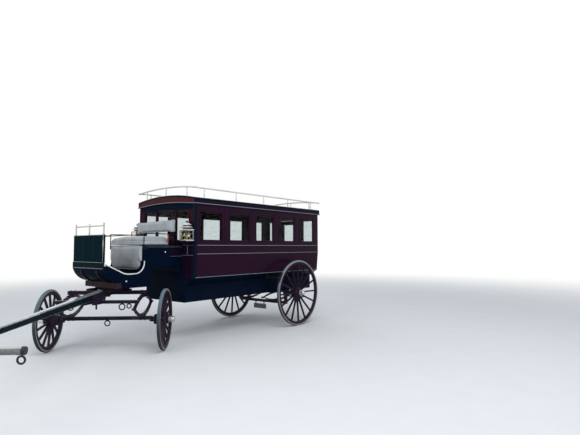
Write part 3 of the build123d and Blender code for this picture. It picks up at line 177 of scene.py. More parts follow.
def new_group(name, inputs, outputs):
    """Wiring and given values of a new group, from (name, kind, default) and (name, kind)."""
    tree = bpy.data.node_groups.new(name, "ShaderNodeTree")
    for label, kind, default in inputs:
        socket = tree.interface.new_socket(name=label, in_out="INPUT", socket_type=kind)
        socket.default_value = default
    for label, kind in outputs:
        tree.interface.new_socket(name=label, in_out="OUTPUT", socket_type=kind)
    w = Wiring(tree)
    return w, w.add("NodeGroupInput").outputs


class Wiring:
    """Adds nodes to a tree and joins them."""

    def __init__(self, tree):
        self.tree = tree
        self.nodes = tree.nodes
        self.column = 0

    def add(self, kind, values=None, **settings):
        node = self.nodes.new(kind)
        node.location = (180 * self.column, -40 * (self.column % 5))
        self.column += 1
        for key, value in settings.items():
            setattr(node, key, value)
        for key, value in (values or {}).items():
            self.feed(node.inputs[key], value)
        return node

    def feed(self, socket, value):
        if isinstance(value, bpy.types.NodeSocket):
            self.tree.links.new(value, socket)
        else:
            socket.default_value = value

    def math(self, operation, a, b=0.0, clamp=False):
        node = self.add("ShaderNodeMath", operation=operation, use_clamp=clamp)
        self.feed(node.inputs[0], a)
        self.feed(node.inputs[1], b)
        return node.outputs[0]

    def ramp(self, value, low, high):
        """Rises smoothly from 0 at low to 1 at high."""
        node = self.add("ShaderNodeMapRange", interpolation_type="SMOOTHSTEP", values={
            "Value": value, "From Min": low, "From Max": high})
        return node.outputs["Result"]

    def mix(self, share, a, b):
        """A colour between two colours."""
        node = self.add("ShaderNodeMix", data_type="RGBA")
        self.feed(node.inputs["Factor"], share)
        self.feed(node.inputs[6], a)
        self.feed(node.inputs[7], b)
        return node.outputs[2]

    def shades(self, value, colour, low, high):
        """A colour that goes from one shade of itself to another with a value."""
        return self.mix(value, rgba(colour, low), rgba(colour, high))

    def product(self, first, *others):
        for other in others:
            first = self.math("MULTIPLY", first, other)
        return first

    def varied(self, base, spread, value):
        """A number that grows from its base by a spread with a value."""
        return self.math("ADD", base, self.math("MULTIPLY", value, spread))

    def place(self):
        """Object coordinates, which are the model's own frame."""
        return self.add("ShaderNodeTexCoord").outputs["Object"]

    def normal(self):
        return self.parts(self.add("ShaderNodeNewGeometry").outputs["Normal"])

    def parts(self, vector):
        return self.add("ShaderNodeSeparateXYZ", values={"Vector": vector}).outputs

    def scaled(self, vector, scale):
        node = self.add("ShaderNodeMapping", values={"Vector": vector, "Scale": scale})
        return node.outputs["Vector"]

    def noise(self, vector, scale, detail=3.0, roughness=0.55):
        node = self.add("ShaderNodeTexNoise", values={
            "Vector": vector, "Scale": scale, "Detail": detail, "Roughness": roughness})
        return node.outputs["Fac"]


def finish_group(w, **outputs):
    """Adds the group's output and joins the named values to it."""
    w.add("NodeGroupOutput", values=outputs)
    return w.tree


def dust_group():
    """Pale road dust that thins out upwards, broken up by noise."""
    w, given = new_group("Road dust", [("Top", "NodeSocketFloat", 0.5), ("Amount", "NodeSocketFloat", 0.5)],
                         [("Mask", "NodeSocketFloat")])
    place = w.place()
    height = w.math("DIVIDE", w.parts(place)["Z"], given["Top"], clamp=True)
    fade = w.math("SUBTRACT", 1.0, height, clamp=True)
    cloud = w.ramp(w.noise(place, 9.0, 5.0, 0.6), 0.32, 0.72)
    return finish_group(w, Mask=w.math("MULTIPLY", w.product(fade, cloud), given["Amount"], clamp=True))


def wear_group():
    """Rubbed and chipped patches: small ones inside larger cloudy ones."""
    w, given = new_group("Rubbed paint", [("Scale", "NodeSocketFloat", 30.0),
                                          ("Amount", "NodeSocketFloat", 0.5)], [("Mask", "NodeSocketFloat")])
    place = w.place()
    wide = w.ramp(w.noise(place, 2.5, 3.0), 0.45, 0.75)
    chips = w.ramp(w.noise(place, given["Scale"], 6.0, 0.7), 0.58, 0.66)
    return finish_group(w, Mask=w.math("MULTIPLY", w.product(wide, chips), given["Amount"], clamp=True))


def brush_group():
    """Brushed coach paint: long faint ripples and a slow change of tone."""
    w, given = new_group("Brushed paint", [("Scale", "NodeSocketFloat", 1.0)],
                         [("Height", "NodeSocketFloat"), ("Tone", "NodeSocketFloat")])
    place = w.place()
    ripple = w.noise(w.scaled(place, (1.0, 5.0, 5.0)), given["Scale"], 4.0, 0.5)
    return finish_group(w, Height=ripple, Tone=w.noise(place, 1.6, 3.0))


def grain_group():
    """Open wood grain that runs along one axis, with the axis given as a stretch."""
    w, given = new_group("Wood grain", [("Stretch", "NodeSocketVector", (1.0, 14.0, 14.0))],
                         [("Height", "NodeSocketFloat"), ("Tone", "NodeSocketFloat")])
    place = w.scaled(w.place(), given["Stretch"])
    return finish_group(w, Height=w.noise(place, 9.0, 6.0, 0.65), Tone=w.noise(place, 2.0, 4.0, 0.6))


def hide_group():
    """Grain of coated cloth or leather: fine cells over soft creases."""
    w, given = new_group("Hide grain", [("Scale", "NodeSocketFloat", 260.0)],
                         [("Height", "NodeSocketFloat"), ("Stain", "NodeSocketFloat")])
    place = w.place()
    cells = w.add("ShaderNodeTexVoronoi", feature="DISTANCE_TO_EDGE",
                  values={"Vector": place, "Scale": given["Scale"]}).outputs["Distance"]
    creases = w.noise(place, 22.0, 5.0, 0.62)
    height = w.math("ADD", w.product(w.ramp(cells, 0.0, 0.35), 0.35), creases)
    return finish_group(w, Height=height, Stain=w.ramp(w.noise(place, 4.5, 5.0, 0.6), 0.40, 0.72))


def metal_group():
    """Fine polishing marks and dull spots on metal."""
    w, given = new_group("Polished metal", [("Scale", "NodeSocketFloat", 60.0)],
                         [("Height", "NodeSocketFloat"), ("Dull", "NodeSocketFloat")])
    place = w.place()
    marks = w.noise(w.scaled(place, (1.0, 1.0, 8.0)), given["Scale"], 5.0, 0.5)
    return finish_group(w, Height=marks, Dull=w.ramp(w.noise(place, 14.0, 4.0), 0.42, 0.70))


GROUPS = {}
GROUP_MAKERS = {"dust": dust_group, "wear": wear_group, "brush": brush_group, "grain": grain_group,
                "hide": hide_group, "metal": metal_group}


def shared(w, kind, **values):
    """One of the shared groups as a node, made the first time it is asked for."""
    if kind not in GROUPS:
        GROUPS[kind] = GROUP_MAKERS[kind]()
    node = w.add("ShaderNodeGroup", node_tree=GROUPS[kind])
    for label, value in values.items():
        w.feed(node.inputs[label.capitalize()], value)
    return node.outputs


# Materials

MATERIALS = {}
ROAD_DUST = (0.16, 0.14, 0.12, 1.0)
GEAR_DUST = (0.20, 0.175, 0.15, 1.0)
TYRE_DUST = (0.20, 0.205, 0.21, 1.0)
# Pale colour of the painted highlight on the upper faces of the pole and the splinter bar.
TOP_HIGHLIGHT_PALE = (0.42, 0.46, 0.48, 1.0)


def new_material(name, **constants):
    """A material with one Principled shader, whose constant sockets are set by name."""
    material = bpy.data.materials.new(name)
    material.use_nodes = True
    shader = material.node_tree.nodes["Principled BSDF"]
    for label, value in constants.items():
        shader.inputs[label.replace("_", " ")].default_value = value
    MATERIALS[name] = material
    return Wiring(material.node_tree), shader


def rgba(colour, factor=1.0):
    return tuple(min(1.0, c * factor) for c in colour) + (1.0,)


def blend(first, second, share, other_share):
    """A colour made of shares of two colours."""
    return tuple(share * a + other_share * b for a, b in zip(first, second))


def surface(w, shader, colour, rough, height, strength, distance):
    """Joins a colour, a roughness and a bump to the shader."""
    w.feed(shader.inputs["Base Color"], colour)
    w.feed(shader.inputs["Roughness"], rough)
    node = w.add("ShaderNodeBump", values={"Height": height, "Strength": strength, "Distance": distance})
    w.feed(shader.inputs["Normal"], node.outputs["Normal"])


# Masks on the coach

def band(w, value, low, high):
    """1 between two values, with a hard edge."""
    return w.product(w.math("GREATER_THAN", value, low), w.math("LESS_THAN", value, high))


def leftward(w, parts):
    """Distance to the left of the coach's middle."""
    return w.math("SUBTRACT", parts["Y"], AXLE_FOOT.y)


def aside(w, parts):
    """Distance from the coach's middle, to either side."""
    return w.math("ABSOLUTE", leftward(w, parts))


def upward(w):
    """Mask for faces that look up."""
    return w.ramp(w.normal()["Z"], 0.55, 0.80)


def inward(w):
    """Mask for the faces of the cabin sides that look inward."""
    return w.math("LESS_THAN", w.product(leftward(w, w.parts(w.place())), w.normal()["Y"]), -0.2)


def boot_green(w, parts):
    """Mask for the green toe board at the boot's front end."""
    front = w.math("GREATER_THAN", parts["X"], AXLE_FOOT.x + DASH_HIGH.x - 0.0015)
    # Below the toe board, the curving belly keeps the boot's blue-black as painted shade.
    return w.product(front, w.math("GREATER_THAN", parts["Z"], DASH_LOW.z - TOE_BOARD))


def boot_panel(w, parts):
    """Mask for the maroon panel at the upper rear end of the boot's sides."""
    first, last = BOOT_PANEL_END
    behind = w.math("SUBTRACT", 1.0, w.ramp(parts["X"], AXLE_FOOT.x + first, AXLE_FOOT.x + last))
    return w.product(behind, band(w, parts["Z"], BOOT_LINE_LOW, BOOT_LINE_TOP))


def footwell_floor(w, parts):
    """Mask for the worn boards in the footwell."""
    inside = w.math("LESS_THAN", aside(w, parts), BOOT_HIGH.y - 0.030)
    ahead = w.math("GREATER_THAN", parts["X"], AXLE_FOOT.x + SEAT_HIGH.x)
    return w.product(inside, ahead, upward(w))


def moulding_shade(w):
    """Mask for the lower half of the level mouldings."""
    height = w.parts(w.place())["Z"]
    shade = 0.0
    for level in (SIDE_LOW.z + 0.0055, BELT_LOW, BELT_TOP):
        shade = w.math("MAXIMUM", shade, band(w, height, level - 0.012, level - 0.0005))
    return shade


def cornice_shade(w):
    """Mask for the lower half of the cornice, which is arched at both ends."""
    parts = w.parts(w.place())
    across = w.math("DIVIDE", leftward(w, parts), WALL_HALF)
    arch = w.product(w.math("SUBTRACT", 1.0, w.product(across, across), clamp=True), FRONT_ARCH)
    return w.math("LESS_THAN", parts["Z"], w.math("ADD", arch, CORNICE_LOW.z + 0.007))


# Paints and other finishes

def body_paint(name, colour, inner=None, dust_top=1.1, dust_amount=0.03, coat=0.04, level=0.035):
    """Glossy brushed coach paint, with an inner colour on the faces that look into the cabin."""
    w, shader = new_material(name, Specular_IOR_Level=level, Coat_Weight=coat, Coat_Roughness=0.10)
    brush = shared(w, "brush", scale=3.0)
    tone = w.shades(brush["Tone"], colour, 0.82, 1.22)
    if inner is not None:
        tone = w.mix(inward(w), tone, w.shades(brush["Tone"], inner, 0.82, 1.22))
    dust = shared(w, "dust", top=dust_top, amount=dust_amount)["Mask"]
    surface(w, shader, w.mix(dust, tone, ROAD_DUST), w.varied(0.24, 0.12, brush["Tone"]),
            brush["Height"], 0.10, 0.002)


def gear_paint(name, colour, dust_top=0.9, dust_amount=0.28, wear_amount=0.45, rough=0.50, level=0.06,
               coat=0.0, painted_top_light=0.0, chip=(0.13, 0.105, 0.085), chip_scale=34.0):
    """Worn satin paint of the running gear, chipped to dull iron, dusty low down; may carry a painted
    highlight on top.
    """
    w, shader = new_material(name, Specular_IOR_Level=level, Coat_Roughness=0.08)
    grain = shared(w, "grain", stretch=(6.0, 6.0, 6.0))
    tone = w.shades(grain["Tone"], colour, 0.65, 1.45)
    # Painted highlight: faces that look up are mixed towards a pale colour, as if lit by the sky.
    if painted_top_light:
        top = upward(w)
        patchy = w.varied(0.62, 0.38, w.ramp(grain["Tone"], 0.38, 0.62))
        tone = w.mix(w.product(top, patchy, painted_top_light), tone, TOP_HIGHLIGHT_PALE)
        w.feed(shader.inputs["Coat Weight"], w.product(top, coat))
    chipped = w.mix(shared(w, "wear", scale=chip_scale, amount=wear_amount)["Mask"], tone, rgba(chip))
    dust = shared(w, "dust", top=dust_top, amount=dust_amount)["Mask"]
    rough = w.math("ADD", rough, w.product(dust, 0.30), clamp=True)
    surface(w, shader, w.mix(dust, chipped, GEAR_DUST), rough, grain["Height"], 0.25, 0.0015)


def bright_metal(name, colour, roughness=0.16):
    """Polished plated metal with dull spots."""
    w, shader = new_material(name, Metallic=1.0)
    marks = shared(w, "metal", scale=60.0)
    surface(w, shader, w.shades(marks["Dull"], colour, 1.0, 0.72), w.varied(roughness, 0.18, marks["Dull"]),
            marks["Height"], 0.15, 0.0004)


def rubber(name, colour):
    """Weathered solid rubber, with painted light on its upper part and painted shade towards the ground."""
    w, shader = new_material(name, Specular_IOR_Level=0.25)
    place = w.place()
    speck = w.noise(place, 55.0, 5.0, 0.7)
    painted_top_light = w.shades(speck, colour, 1.00, 2.20)
    painted_low_shade = w.shades(speck, colour, 0.06, 0.28)
    # Painted light and shade: lighter at the top, darker towards the ground.
    tone = w.mix(w.ramp(w.parts(place)["Z"], 0.25, 1.12), painted_low_shade, painted_top_light)
    dust = shared(w, "dust", top=1.6, amount=0.06)["Mask"]
    surface(w, shader, w.mix(dust, tone, TYRE_DUST), w.varied(0.62, 0.25, speck), speck, 0.35, 0.0012)


def hide(name, colour, stain, scale=260.0):
    """Grained coated cloth with soft stains."""
    w, shader = new_material(name, Specular_IOR_Level=0.40, Sheen_Weight=0.10, Sheen_Roughness=0.5)
    grain = shared(w, "hide", scale=scale)
    tone = w.mix(w.product(grain["Stain"], 0.55), rgba(colour), rgba(stain))
    surface(w, shader, tone, w.varied(0.46, 0.16, grain["Stain"]), grain["Height"], 0.28, 0.0016)


def grained_wood(name, pale, dark, stretch):
    """Varnished wood with its grain along one axis."""
    w, shader = new_material(name, Specular_IOR_Level=0.35, Coat_Weight=0.25, Coat_Roughness=0.18)
    grain = shared(w, "grain", stretch=stretch)
    surface(w, shader, w.mix(grain["Tone"], rgba(dark), rgba(pale)), w.varied(0.38, 0.14, grain["Height"]),
            grain["Height"], 0.18, 0.0010)


def glass(name, tint, roughness=0.02):
    """Clear pane with faint smears."""
    w, shader = new_material(name, Transmission_Weight=1.0, IOR=1.12, Metallic=0.0, Specular_IOR_Level=0.3)
    smear = w.ramp(w.noise(w.scaled(w.place(), (1.0, 1.0, 3.0)), 7.0, 4.0), 0.45, 0.80)
    w.feed(shader.inputs["Base Color"], w.shades(smear, tint, 1.0, 0.90))
    w.feed(shader.inputs["Roughness"], w.varied(roughness, 0.03, smear))


def front_wall_paint(colours):
    """Front wall: russet above the belt, maroon darkened by painted shade in it, blue-black below and
    stained wood inside.
    """
    w, shader = new_material("front_wall", Specular_IOR_Level=0.010, Coat_Weight=0.015, Coat_Roughness=0.10)
    height = w.parts(w.place())["Z"]
    brush = shared(w, "brush", scale=3.0)
    # Painted shade: the maroon of the front wall is darkened towards blue-black.
    panel = blend(colours.panel, colours.dark, 0.65, 0.35)
    upper = blend(colours.front, colours.panel, 0.50, 0.35)
    low = w.mix(w.math("GREATER_THAN", height, SIDE_LOW.z), rgba(colours.dark, 1.2), rgba(panel))
    tone = w.mix(w.ramp(height, BELT_TOP, WINDOW_TOP), low, rgba(upper))
    tone = w.mix(w.ramp(height, WINDOW_TOP + 0.01, WINDOW_TOP + 0.05), tone, rgba(colours.dark, 1.6))
    tone = w.mix(w.math("LESS_THAN", w.normal()["X"], -0.5), tone, INNER_WOOD)
    tone = w.mix(w.product(brush["Tone"], 0.35), tone, (0.002, 0.002, 0.004, 1.0))
    surface(w, shader, tone, w.varied(0.24, 0.12, brush["Tone"]), brush["Height"], 0.10, 0.002)


def roof_paint(colours):
    """Dark painted canvas on top, russet at the ends, maroon along the sides, grey-blue inside."""
    w, shader = new_material("roof_paint", Specular_IOR_Level=0.04)
    normal, parts = w.normal(), w.parts(w.place())
    front = w.math("GREATER_THAN", w.math("ABSOLUTE", normal["X"]), 0.5)
    side = w.math("GREATER_THAN", w.math("ABSOLUTE", normal["Y"]), 0.5)
    under = w.math("LESS_THAN", normal["Z"], -0.3)
    brush = shared(w, "brush", scale=3.0)
    canvas = w.mix(brush["Tone"], (0.006, 0.007, 0.009, 1), (0.016, 0.017, 0.019, 1))
    across = w.math("DIVIDE", leftward(w, parts), ROOF_HIGH.y)
    crown = w.math("SUBTRACT", ROOF_HIGH.z - 0.026, w.product(across, across, ROOF_RISE))
    ends = w.mix(w.math("LESS_THAN", parts["Z"], crown), rgba(colours.dark), rgba(colours.front))
    below = w.math("LESS_THAN", parts["Z"], ROOF_HIGH.z - ROOF_RISE - 0.038)
    sides = w.mix(below, rgba(colours.dark), rgba(blend(colours.panel, colours.dark, 0.55, 0.45)))
    tone = w.mix(side, w.mix(front, canvas, ends), sides)
    surface(w, shader, w.mix(under, tone, CEILING), w.varied(0.30, 0.25, brush["Tone"]),
            brush["Height"], 0.15, 0.003)


def boot_paint(colours):
    """Blue-black boot with its green toe board and the small maroon panels beside the cabin."""
    w, shader = new_material("boot_paint", Specular_IOR_Level=0.008, Coat_Weight=0.008, Coat_Roughness=0.10)
    parts = w.parts(w.place())
    brush = shared(w, "brush", scale=3.0)
    dark = w.shades(brush["Tone"], colours.dark, 0.8, 1.3)
    green = w.mix(boot_green(w, parts), dark, rgba(colours.dash, 0.9))
    tone = w.mix(w.product(boot_panel(w, parts), 0.6), green, rgba(colours.panel))
    boards = w.mix(shared(w, "grain", stretch=(14.0, 1.0, 14.0))["Tone"], (0.016, 0.017, 0.019, 1),
                   (0.060, 0.062, 0.064, 1))
    tone = w.mix(footwell_floor(w, parts), tone, boards)
    dust = shared(w, "dust", top=1.35, amount=0.020)["Mask"]
    surface(w, shader, w.mix(dust, tone, ROAD_DUST), w.varied(0.24, 0.14, brush["Tone"]),
            brush["Height"], 0.10, 0.002)


def floor_paint(colours):
    """Blue-black skirt with a bare boarded floor inside."""
    w, shader = new_material("skirt_paint", Specular_IOR_Level=0.015, Coat_Weight=0.02, Coat_Roughness=0.12)
    inside = w.math("LESS_THAN", aside(w, w.parts(w.place())), FLOOR_HIGH.y - FLOOR_MARGIN)
    top = w.math("GREATER_THAN", w.normal()["Z"], 0.5)
    brush = shared(w, "brush", scale=3.0)
    dark = w.shades(brush["Tone"], colours.dark, 0.8, 1.35)
    boards = w.mix(shared(w, "grain", stretch=(1.0, 14.0, 14.0))["Tone"], (0.06, 0.035, 0.02, 1),
                   (0.14, 0.085, 0.05, 1))
    tone = w.mix(w.product(inside, top), dark, boards)
    dust = shared(w, "dust", top=1.05, amount=0.045)["Mask"]
    surface(w, shader, w.mix(dust, tone, ROAD_DUST), w.varied(0.22, 0.14, brush["Tone"]),
            brush["Height"], 0.10, 0.002)


def line_paint(name, colours, where=None, strength=1.0, painted_shade_ahead=0.0):
    """Pale worn lining, dark where a mask says so, with painted shade on faces that look ahead."""
    w, shader = new_material(name, Specular_IOR_Level=0.15, Coat_Weight=0.10, Coat_Roughness=0.12)
    brush = shared(w, "brush", scale=6.0)
    fresh, worn = rgba(colours.line, strength), rgba(colours.line, 0.35 * strength)
    tone = w.mix(w.product(brush["Tone"], 0.7), fresh, worn)
    # Painted shade: faces that look ahead are darkened.
    if painted_shade_ahead:
        tone = w.mix(w.product(w.ramp(w.normal()["X"], 0.4, 0.8), painted_shade_ahead), tone, rgba(colours.dark))
    if where is not None:
        tone = w.mix(where(w), tone, rgba(colours.dark))
    surface(w, shader, tone, w.varied(0.28, 0.2, brush["Tone"]), brush["Height"], 0.10, 0.001)


def lamp_metal():
    """Carriage lamp: black necks and posts, tin eaves, plated rims, and a wax candle inside."""
    w, shader = new_material("lamp_metal")
    parts = w.parts(w.place())
    height = parts["Z"]
    marks = shared(w, "metal", scale=60.0)
    hood = LAMP_HIGH.z - LAMP_HOOD
    necks = band(w, height, LAMP_LOW.z + 0.040, hood - 0.0145)
    for low, high in ((0.0, 0.20), (0.33, 0.48), (0.77, 1.1)):
        necks = w.math("MAXIMUM", necks, band(w, height, hood + low * LAMP_HOOD, hood + high * LAMP_HOOD))
    eaves = w.math("GREATER_THAN", height, hood + 0.001)
    from_middle = w.math("SUBTRACT", aside(w, parts), (LAMP_LOW.y + LAMP_HIGH.y) / 2)
    from_centre = w.math("SUBTRACT", parts["X"], AXLE_FOOT.x + LAMP_HIGH.x - LAMP_HALF)
    near_y = w.math("LESS_THAN", w.math("ABSOLUTE", from_middle), 0.02)
    near_x = w.math("LESS_THAN", w.math("ABSOLUTE", from_centre), 0.02)
    wax = w.product(near_x, near_y, band(w, height, hood - 0.160, hood - 0.016))
    bright = w.mix(marks["Dull"], (0.56, 0.56, 0.55, 1.0), (0.36, 0.36, 0.35, 1.0))
    bright = w.mix(eaves, bright, (0.72, 0.76, 0.79, 1.0))
    tone = w.mix(wax, w.mix(necks, bright, (0.008, 0.009, 0.012, 1.0)), (0.46, 0.41, 0.30, 1.0))
    plain = w.math("MAXIMUM", w.math("MAXIMUM", wax, necks), w.product(eaves, 0.75))
    w.feed(shader.inputs["Metallic"], w.math("SUBTRACT", 1.0, plain))
    surface(w, shader, tone, w.varied(0.16, 0.2, marks["Dull"]), marks["Height"], 0.15, 0.0004)


def lamp_silver():
    """Silvered lining of the lamps, bright in places and tarnished black in others."""
    w, shader = new_material("lamp_silver", Metallic=1.0)
    marks = shared(w, "metal", scale=60.0)
    tarnish = w.ramp(w.noise(w.place(), 26.0, 3.0), 0.40, 0.58)
    surface(w, shader, w.mix(tarnish, (0.96, 0.94, 0.88, 1.0), (0.018, 0.017, 0.022, 1.0)),
            w.varied(0.14, 0.25, tarnish), marks["Height"], 0.15, 0.0004)


def yoke_wood():
    """Grey weathered wood of the neck yoke, with a painted highlight on its top, and dark iron ferrules and
    rings.
    """
    w, shader = new_material("yoke_wood", Specular_IOR_Level=0.2)
    parts = w.parts(w.place())
    low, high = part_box("neck_yoke")
    middle = (low + high) / 2
    along = TURN @ Vector((0, 1, 0))
    reach = w.math("ADD", w.product(w.math("SUBTRACT", parts["X"], middle.x), along.x),
                   w.product(w.math("SUBTRACT", parts["Y"], middle.y), along.y))
    ferrule = w.math("GREATER_THAN", w.math("ABSOLUTE", reach), YOKE_FERRULE)
    iron = w.math("MAXIMUM", ferrule, w.math("LESS_THAN", parts["Z"], high.z - YOKE_DEPTH))
    speck = w.noise(w.place(), 38.0, 6.0, 0.7)
    wood = w.mix(speck, (0.075, 0.070, 0.066, 1.0), (0.26, 0.255, 0.25, 1.0))
    # Painted highlight: the yoke's upper faces are made pale.
    wood = w.mix(w.product(upward(w), 0.75), wood, (0.50, 0.53, 0.54, 1.0))
    surface(w, shader, w.mix(iron, wood, (0.020, 0.022, 0.026, 1.0)),
            w.math("SUBTRACT", 0.62, w.product(iron, 0.24)), speck, 0.35, 0.0012)


def plate_paint():
    """Blank enamelled plate, dulled by dust."""
    w, shader = new_material("plate_enamel", Specular_IOR_Level=0.4)
    speck = w.noise(w.place(), 40.0, 5.0, 0.7)
    dust = shared(w, "dust", top=0.7, amount=0.8)["Mask"]
    tone = w.mix(speck, (0.10, 0.11, 0.11, 1), (0.19, 0.20, 0.20, 1))
    surface(w, shader, w.mix(dust, tone, (0.22, 0.20, 0.18, 1)), w.varied(0.40, 0.2, speck), speck, 0.2,
            0.0006)


def make_materials(colours):
    """Every finish of the coach, by name."""
    body_paint("panel_maroon", colours.panel, inner=INNER_WOOD[:3])
    front_wall_paint(colours)
    body_paint("rear_maroon", colours.panel)
    body_paint("trim_maroon", colours.panel, level=0.06)
    body_paint("pillar_black", colours.dark, dust_amount=0.05)
    # The mouldings carry painted shade on their forward faces.
    line_paint("lining_grey", colours, moulding_shade, painted_shade_ahead=0.6)
    line_paint("cornice_line", colours, cornice_shade)
    line_paint("line_paint", colours, strength=0.5)
    body_paint("rail_white", colours.rail, dust_top=4.0, dust_amount=0.20, coat=0.15)
    body_paint("dash_green", colours.dash, coat=0.0, level=0.005)
    body_paint("groove_green", (0.018, 0.055, 0.064), dust_amount=0.0, coat=0.0, level=0.008)
    # The pole's upper faces carry a painted highlight.
    gear_paint("pole_green", colours.pole, dust_top=1.4, dust_amount=0.05, wear_amount=0.20, rough=0.30,
               level=0.03, painted_top_light=0.75, coat=1.0)
    gear_paint("gear_wood", colours.gear, dust_amount=0.16)
    gear_paint("gear_iron", colours.gear, wear_amount=0.8, rough=0.42)
    flecked = {"dust_amount": 0.15, "wear_amount": 1.0, "rough": 0.40, "chip": IRON_CHIP, "chip_scale": 60.0}
    gear_paint("axle_black", (0.005, 0.007, 0.012), **flecked)
    # The splinter bar's upper faces carry a painted highlight.
    gear_paint("bar_black", (0.010, 0.010, 0.014), painted_top_light=0.45, **flecked)
    gear_paint("dark_iron", (0.009, 0.009, 0.011), dust_amount=0.25, wear_amount=0.6, rough=0.42)
    gear_paint("transom_brown", (0.024, 0.012, 0.017), dust_top=1.2, dust_amount=0.15, wear_amount=0.5)
    gear_paint("edge_tan", (0.265, 0.240, 0.210), dust_amount=0.20, wear_amount=0.5, rough=0.6)
    rubber("tyre_rubber", colours.rubber)
    bright_metal("nickel", (0.62, 0.62, 0.61))
    bright_metal("rail_steel", (0.52, 0.52, 0.50), roughness=0.24)
    bright_metal("trim_steel", (0.82, 0.83, 0.84), roughness=0.24)
    lamp_silver()
    lamp_metal()
    hide("seat_grey", colours.seat, (0.22, 0.225, 0.23))
    hide("bench_hide", (0.060, 0.020, 0.014), (0.030, 0.012, 0.010))
    hide("strap_red", (0.30, 0.018, 0.014), (0.16, 0.012, 0.010), scale=500.0)
    grained_wood("bench_wood", (0.16, 0.075, 0.035), (0.075, 0.032, 0.015), (1.0, 12.0, 12.0))
    glass("window_pane", (0.74, 0.79, 0.79))
    glass("lamp_pane", (0.92, 0.88, 0.76), roughness=0.05)
    yoke_wood()
    roof_paint(colours)
    boot_paint(colours)
    floor_paint(colours)
    plate_paint()


NODES_OF = {
    "panel_maroon": ("cabin_side_left", "cabin_side_right"),
    "front_wall": ("cabin_front_wall",),
    "rear_maroon": ("cabin_rear_wall", "rear_door"),
    "pillar_black": ("corner_pillars",),
    "skirt_paint": ("cabin_floor",),
    "lining_grey": ("mouldings",),
    "cornice_line": ("cornice",),
    "roof_paint": ("roof",),
    "rail_white": ("roof_rail",),
    "window_pane": ("glass_left", "glass_right", "glass_front", "glass_rear", "rear_door_glass"),
    "bench_wood": ("bench_left", "bench_right"),
    "lamp_metal": ("lamp_left", "lamp_right"),
    "lamp_pane": ("lamp_glass",),
    "boot_paint": ("boot_body",),
    "trim_steel": ("footwell_trim",),
    "dash_green": ("dash_panel", "dash_trim"),
    "rail_steel": ("dash_rail",),
    "transom_brown": ("transom",),
    "plate_enamel": ("rear_plate",),
    "axle_black": ("front_axle",),
    "bar_black": ("splinter_bar",),
    "pole_green": ("pole",),
    "yoke_wood": ("neck_yoke",),
    "gear_iron": ("rear_axle", "rear_springs", "front_springs"),
    "dark_iron": ("seat_irons", "rear_step", "brake_gear", "upper_ring", "kingpin", "pole_irons"),
    "gear_wood": ("turntable_frame",) + tuple(f"wheel_{wheel}" for wheel in WHEELS),
    "nickel": ("grab_handles",) + tuple(f"hub_cap_{wheel}" for wheel in WHEELS),
    "tyre_rubber": tuple(f"tyre_{wheel}" for wheel in WHEELS),
}


# Making pieces

def link_piece(name, mesh, finish, body, smooth=True):
    """Adds a mesh as a finished piece at the origin, riding on a body."""
    piece = bpy.data.objects.new(name, mesh)
    bpy.context.scene.collection.objects.link(piece)
    mesh.materials.clear()
    mesh.materials.append(MATERIALS[finish])
    for face in mesh.polygons:
        face.use_smooth = smooth
    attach(piece, body)
    return piece


def mesh_from(bm, name):
    """A mesh from a bmesh, its doubles merged and its normals outward."""
    bmesh.ops.remove_doubles(bm, verts=bm.verts, dist=1e-6)
    bmesh.ops.recalc_face_normals(bm, faces=bm.faces)
    mesh = bpy.data.meshes.new(name)
    bm.to_mesh(mesh)
    bm.free()
    return mesh


def add_block(bm, low, high, bevel=0.0):
    """A block between two corners with its edges rounded."""
    made = bmesh.ops.create_cube(bm, size=1.0)
    size, middle = high - low, (high + low) / 2
    for vert in made["verts"]:
        vert.co = Vector((vert.co.x * size.x, vert.co.y * size.y, vert.co.z * size.z)) + middle
    if bevel > 0:
        edges = {edge for vert in made["verts"] for edge in vert.link_edges}
        bmesh.ops.bevel(bm, geom=list(edges), offset=bevel, segments=2, affect="EDGES", profile=0.7)


def frame_bars(low, high, width, axis):
    """Four bars, as pairs of corners, round a flat opening across an axis."""
    u, v = [k for k in range(3) if k != axis]
    bars = []
    for k, far in ((v, False), (v, True), (u, False), (u, True)):
        a, b = low.copy(), high.copy()
        if far:
            a[k] = b[k] - width
        else:
            b[k] = a[k] + width
        if k == u:
            a[v] += width
            b[v] -= width
        bars.append((a, b))
    return bars


def islands(node):
    """Boxes of a node's separate solids, sorted along X and then Y."""
    mesh = FRAME["nodes"][node].data
    bm = bmesh.new()
    bm.from_mesh(mesh)
    bmesh.ops.remove_doubles(bm, verts=bm.verts, dist=1e-5)
    seen, found = set(), []
    for vert in bm.verts:
        if vert in seen:
            continue
        stack, low, high = [vert], vert.co.copy(), vert.co.copy()
        seen.add(vert)
        while stack:
            here = stack.pop()
            low = Vector(map(min, low, here.co))
            high = Vector(map(max, high, here.co))
            for edge in here.link_edges:
                other = edge.other_vert(here)
                if other not in seen:
                    seen.add(other)
                    stack.append(other)
        found.append((low, high))
    bm.free()
    return sorted(found, key=lambda pair: (round(pair[0].x, 3), pair[0].y))


# Geometry Nodes trees

def node_tree(name, inputs):
    """A geometry tree's wiring, its given values and its inputs' identifiers, by name."""
    tree = bpy.data.node_groups.new(name, "GeometryNodeTree")
    tree.interface.new_socket(name="Geometry", in_out="INPUT", socket_type="NodeSocketGeometry")
    ids = {}
    for label, kind, default in inputs + [("Material", "NodeSocketMaterial", None)]:
        socket = tree.interface.new_socket(name=label, in_out="INPUT", socket_type=kind)
        if default is not None:
            socket.default_value = default
        ids[label] = socket.identifier
    tree.interface.new_socket(name="Geometry", in_out="OUTPUT", socket_type="NodeSocketGeometry")
    w = Wiring(tree)
    return w, w.add("NodeGroupInput").outputs, ids


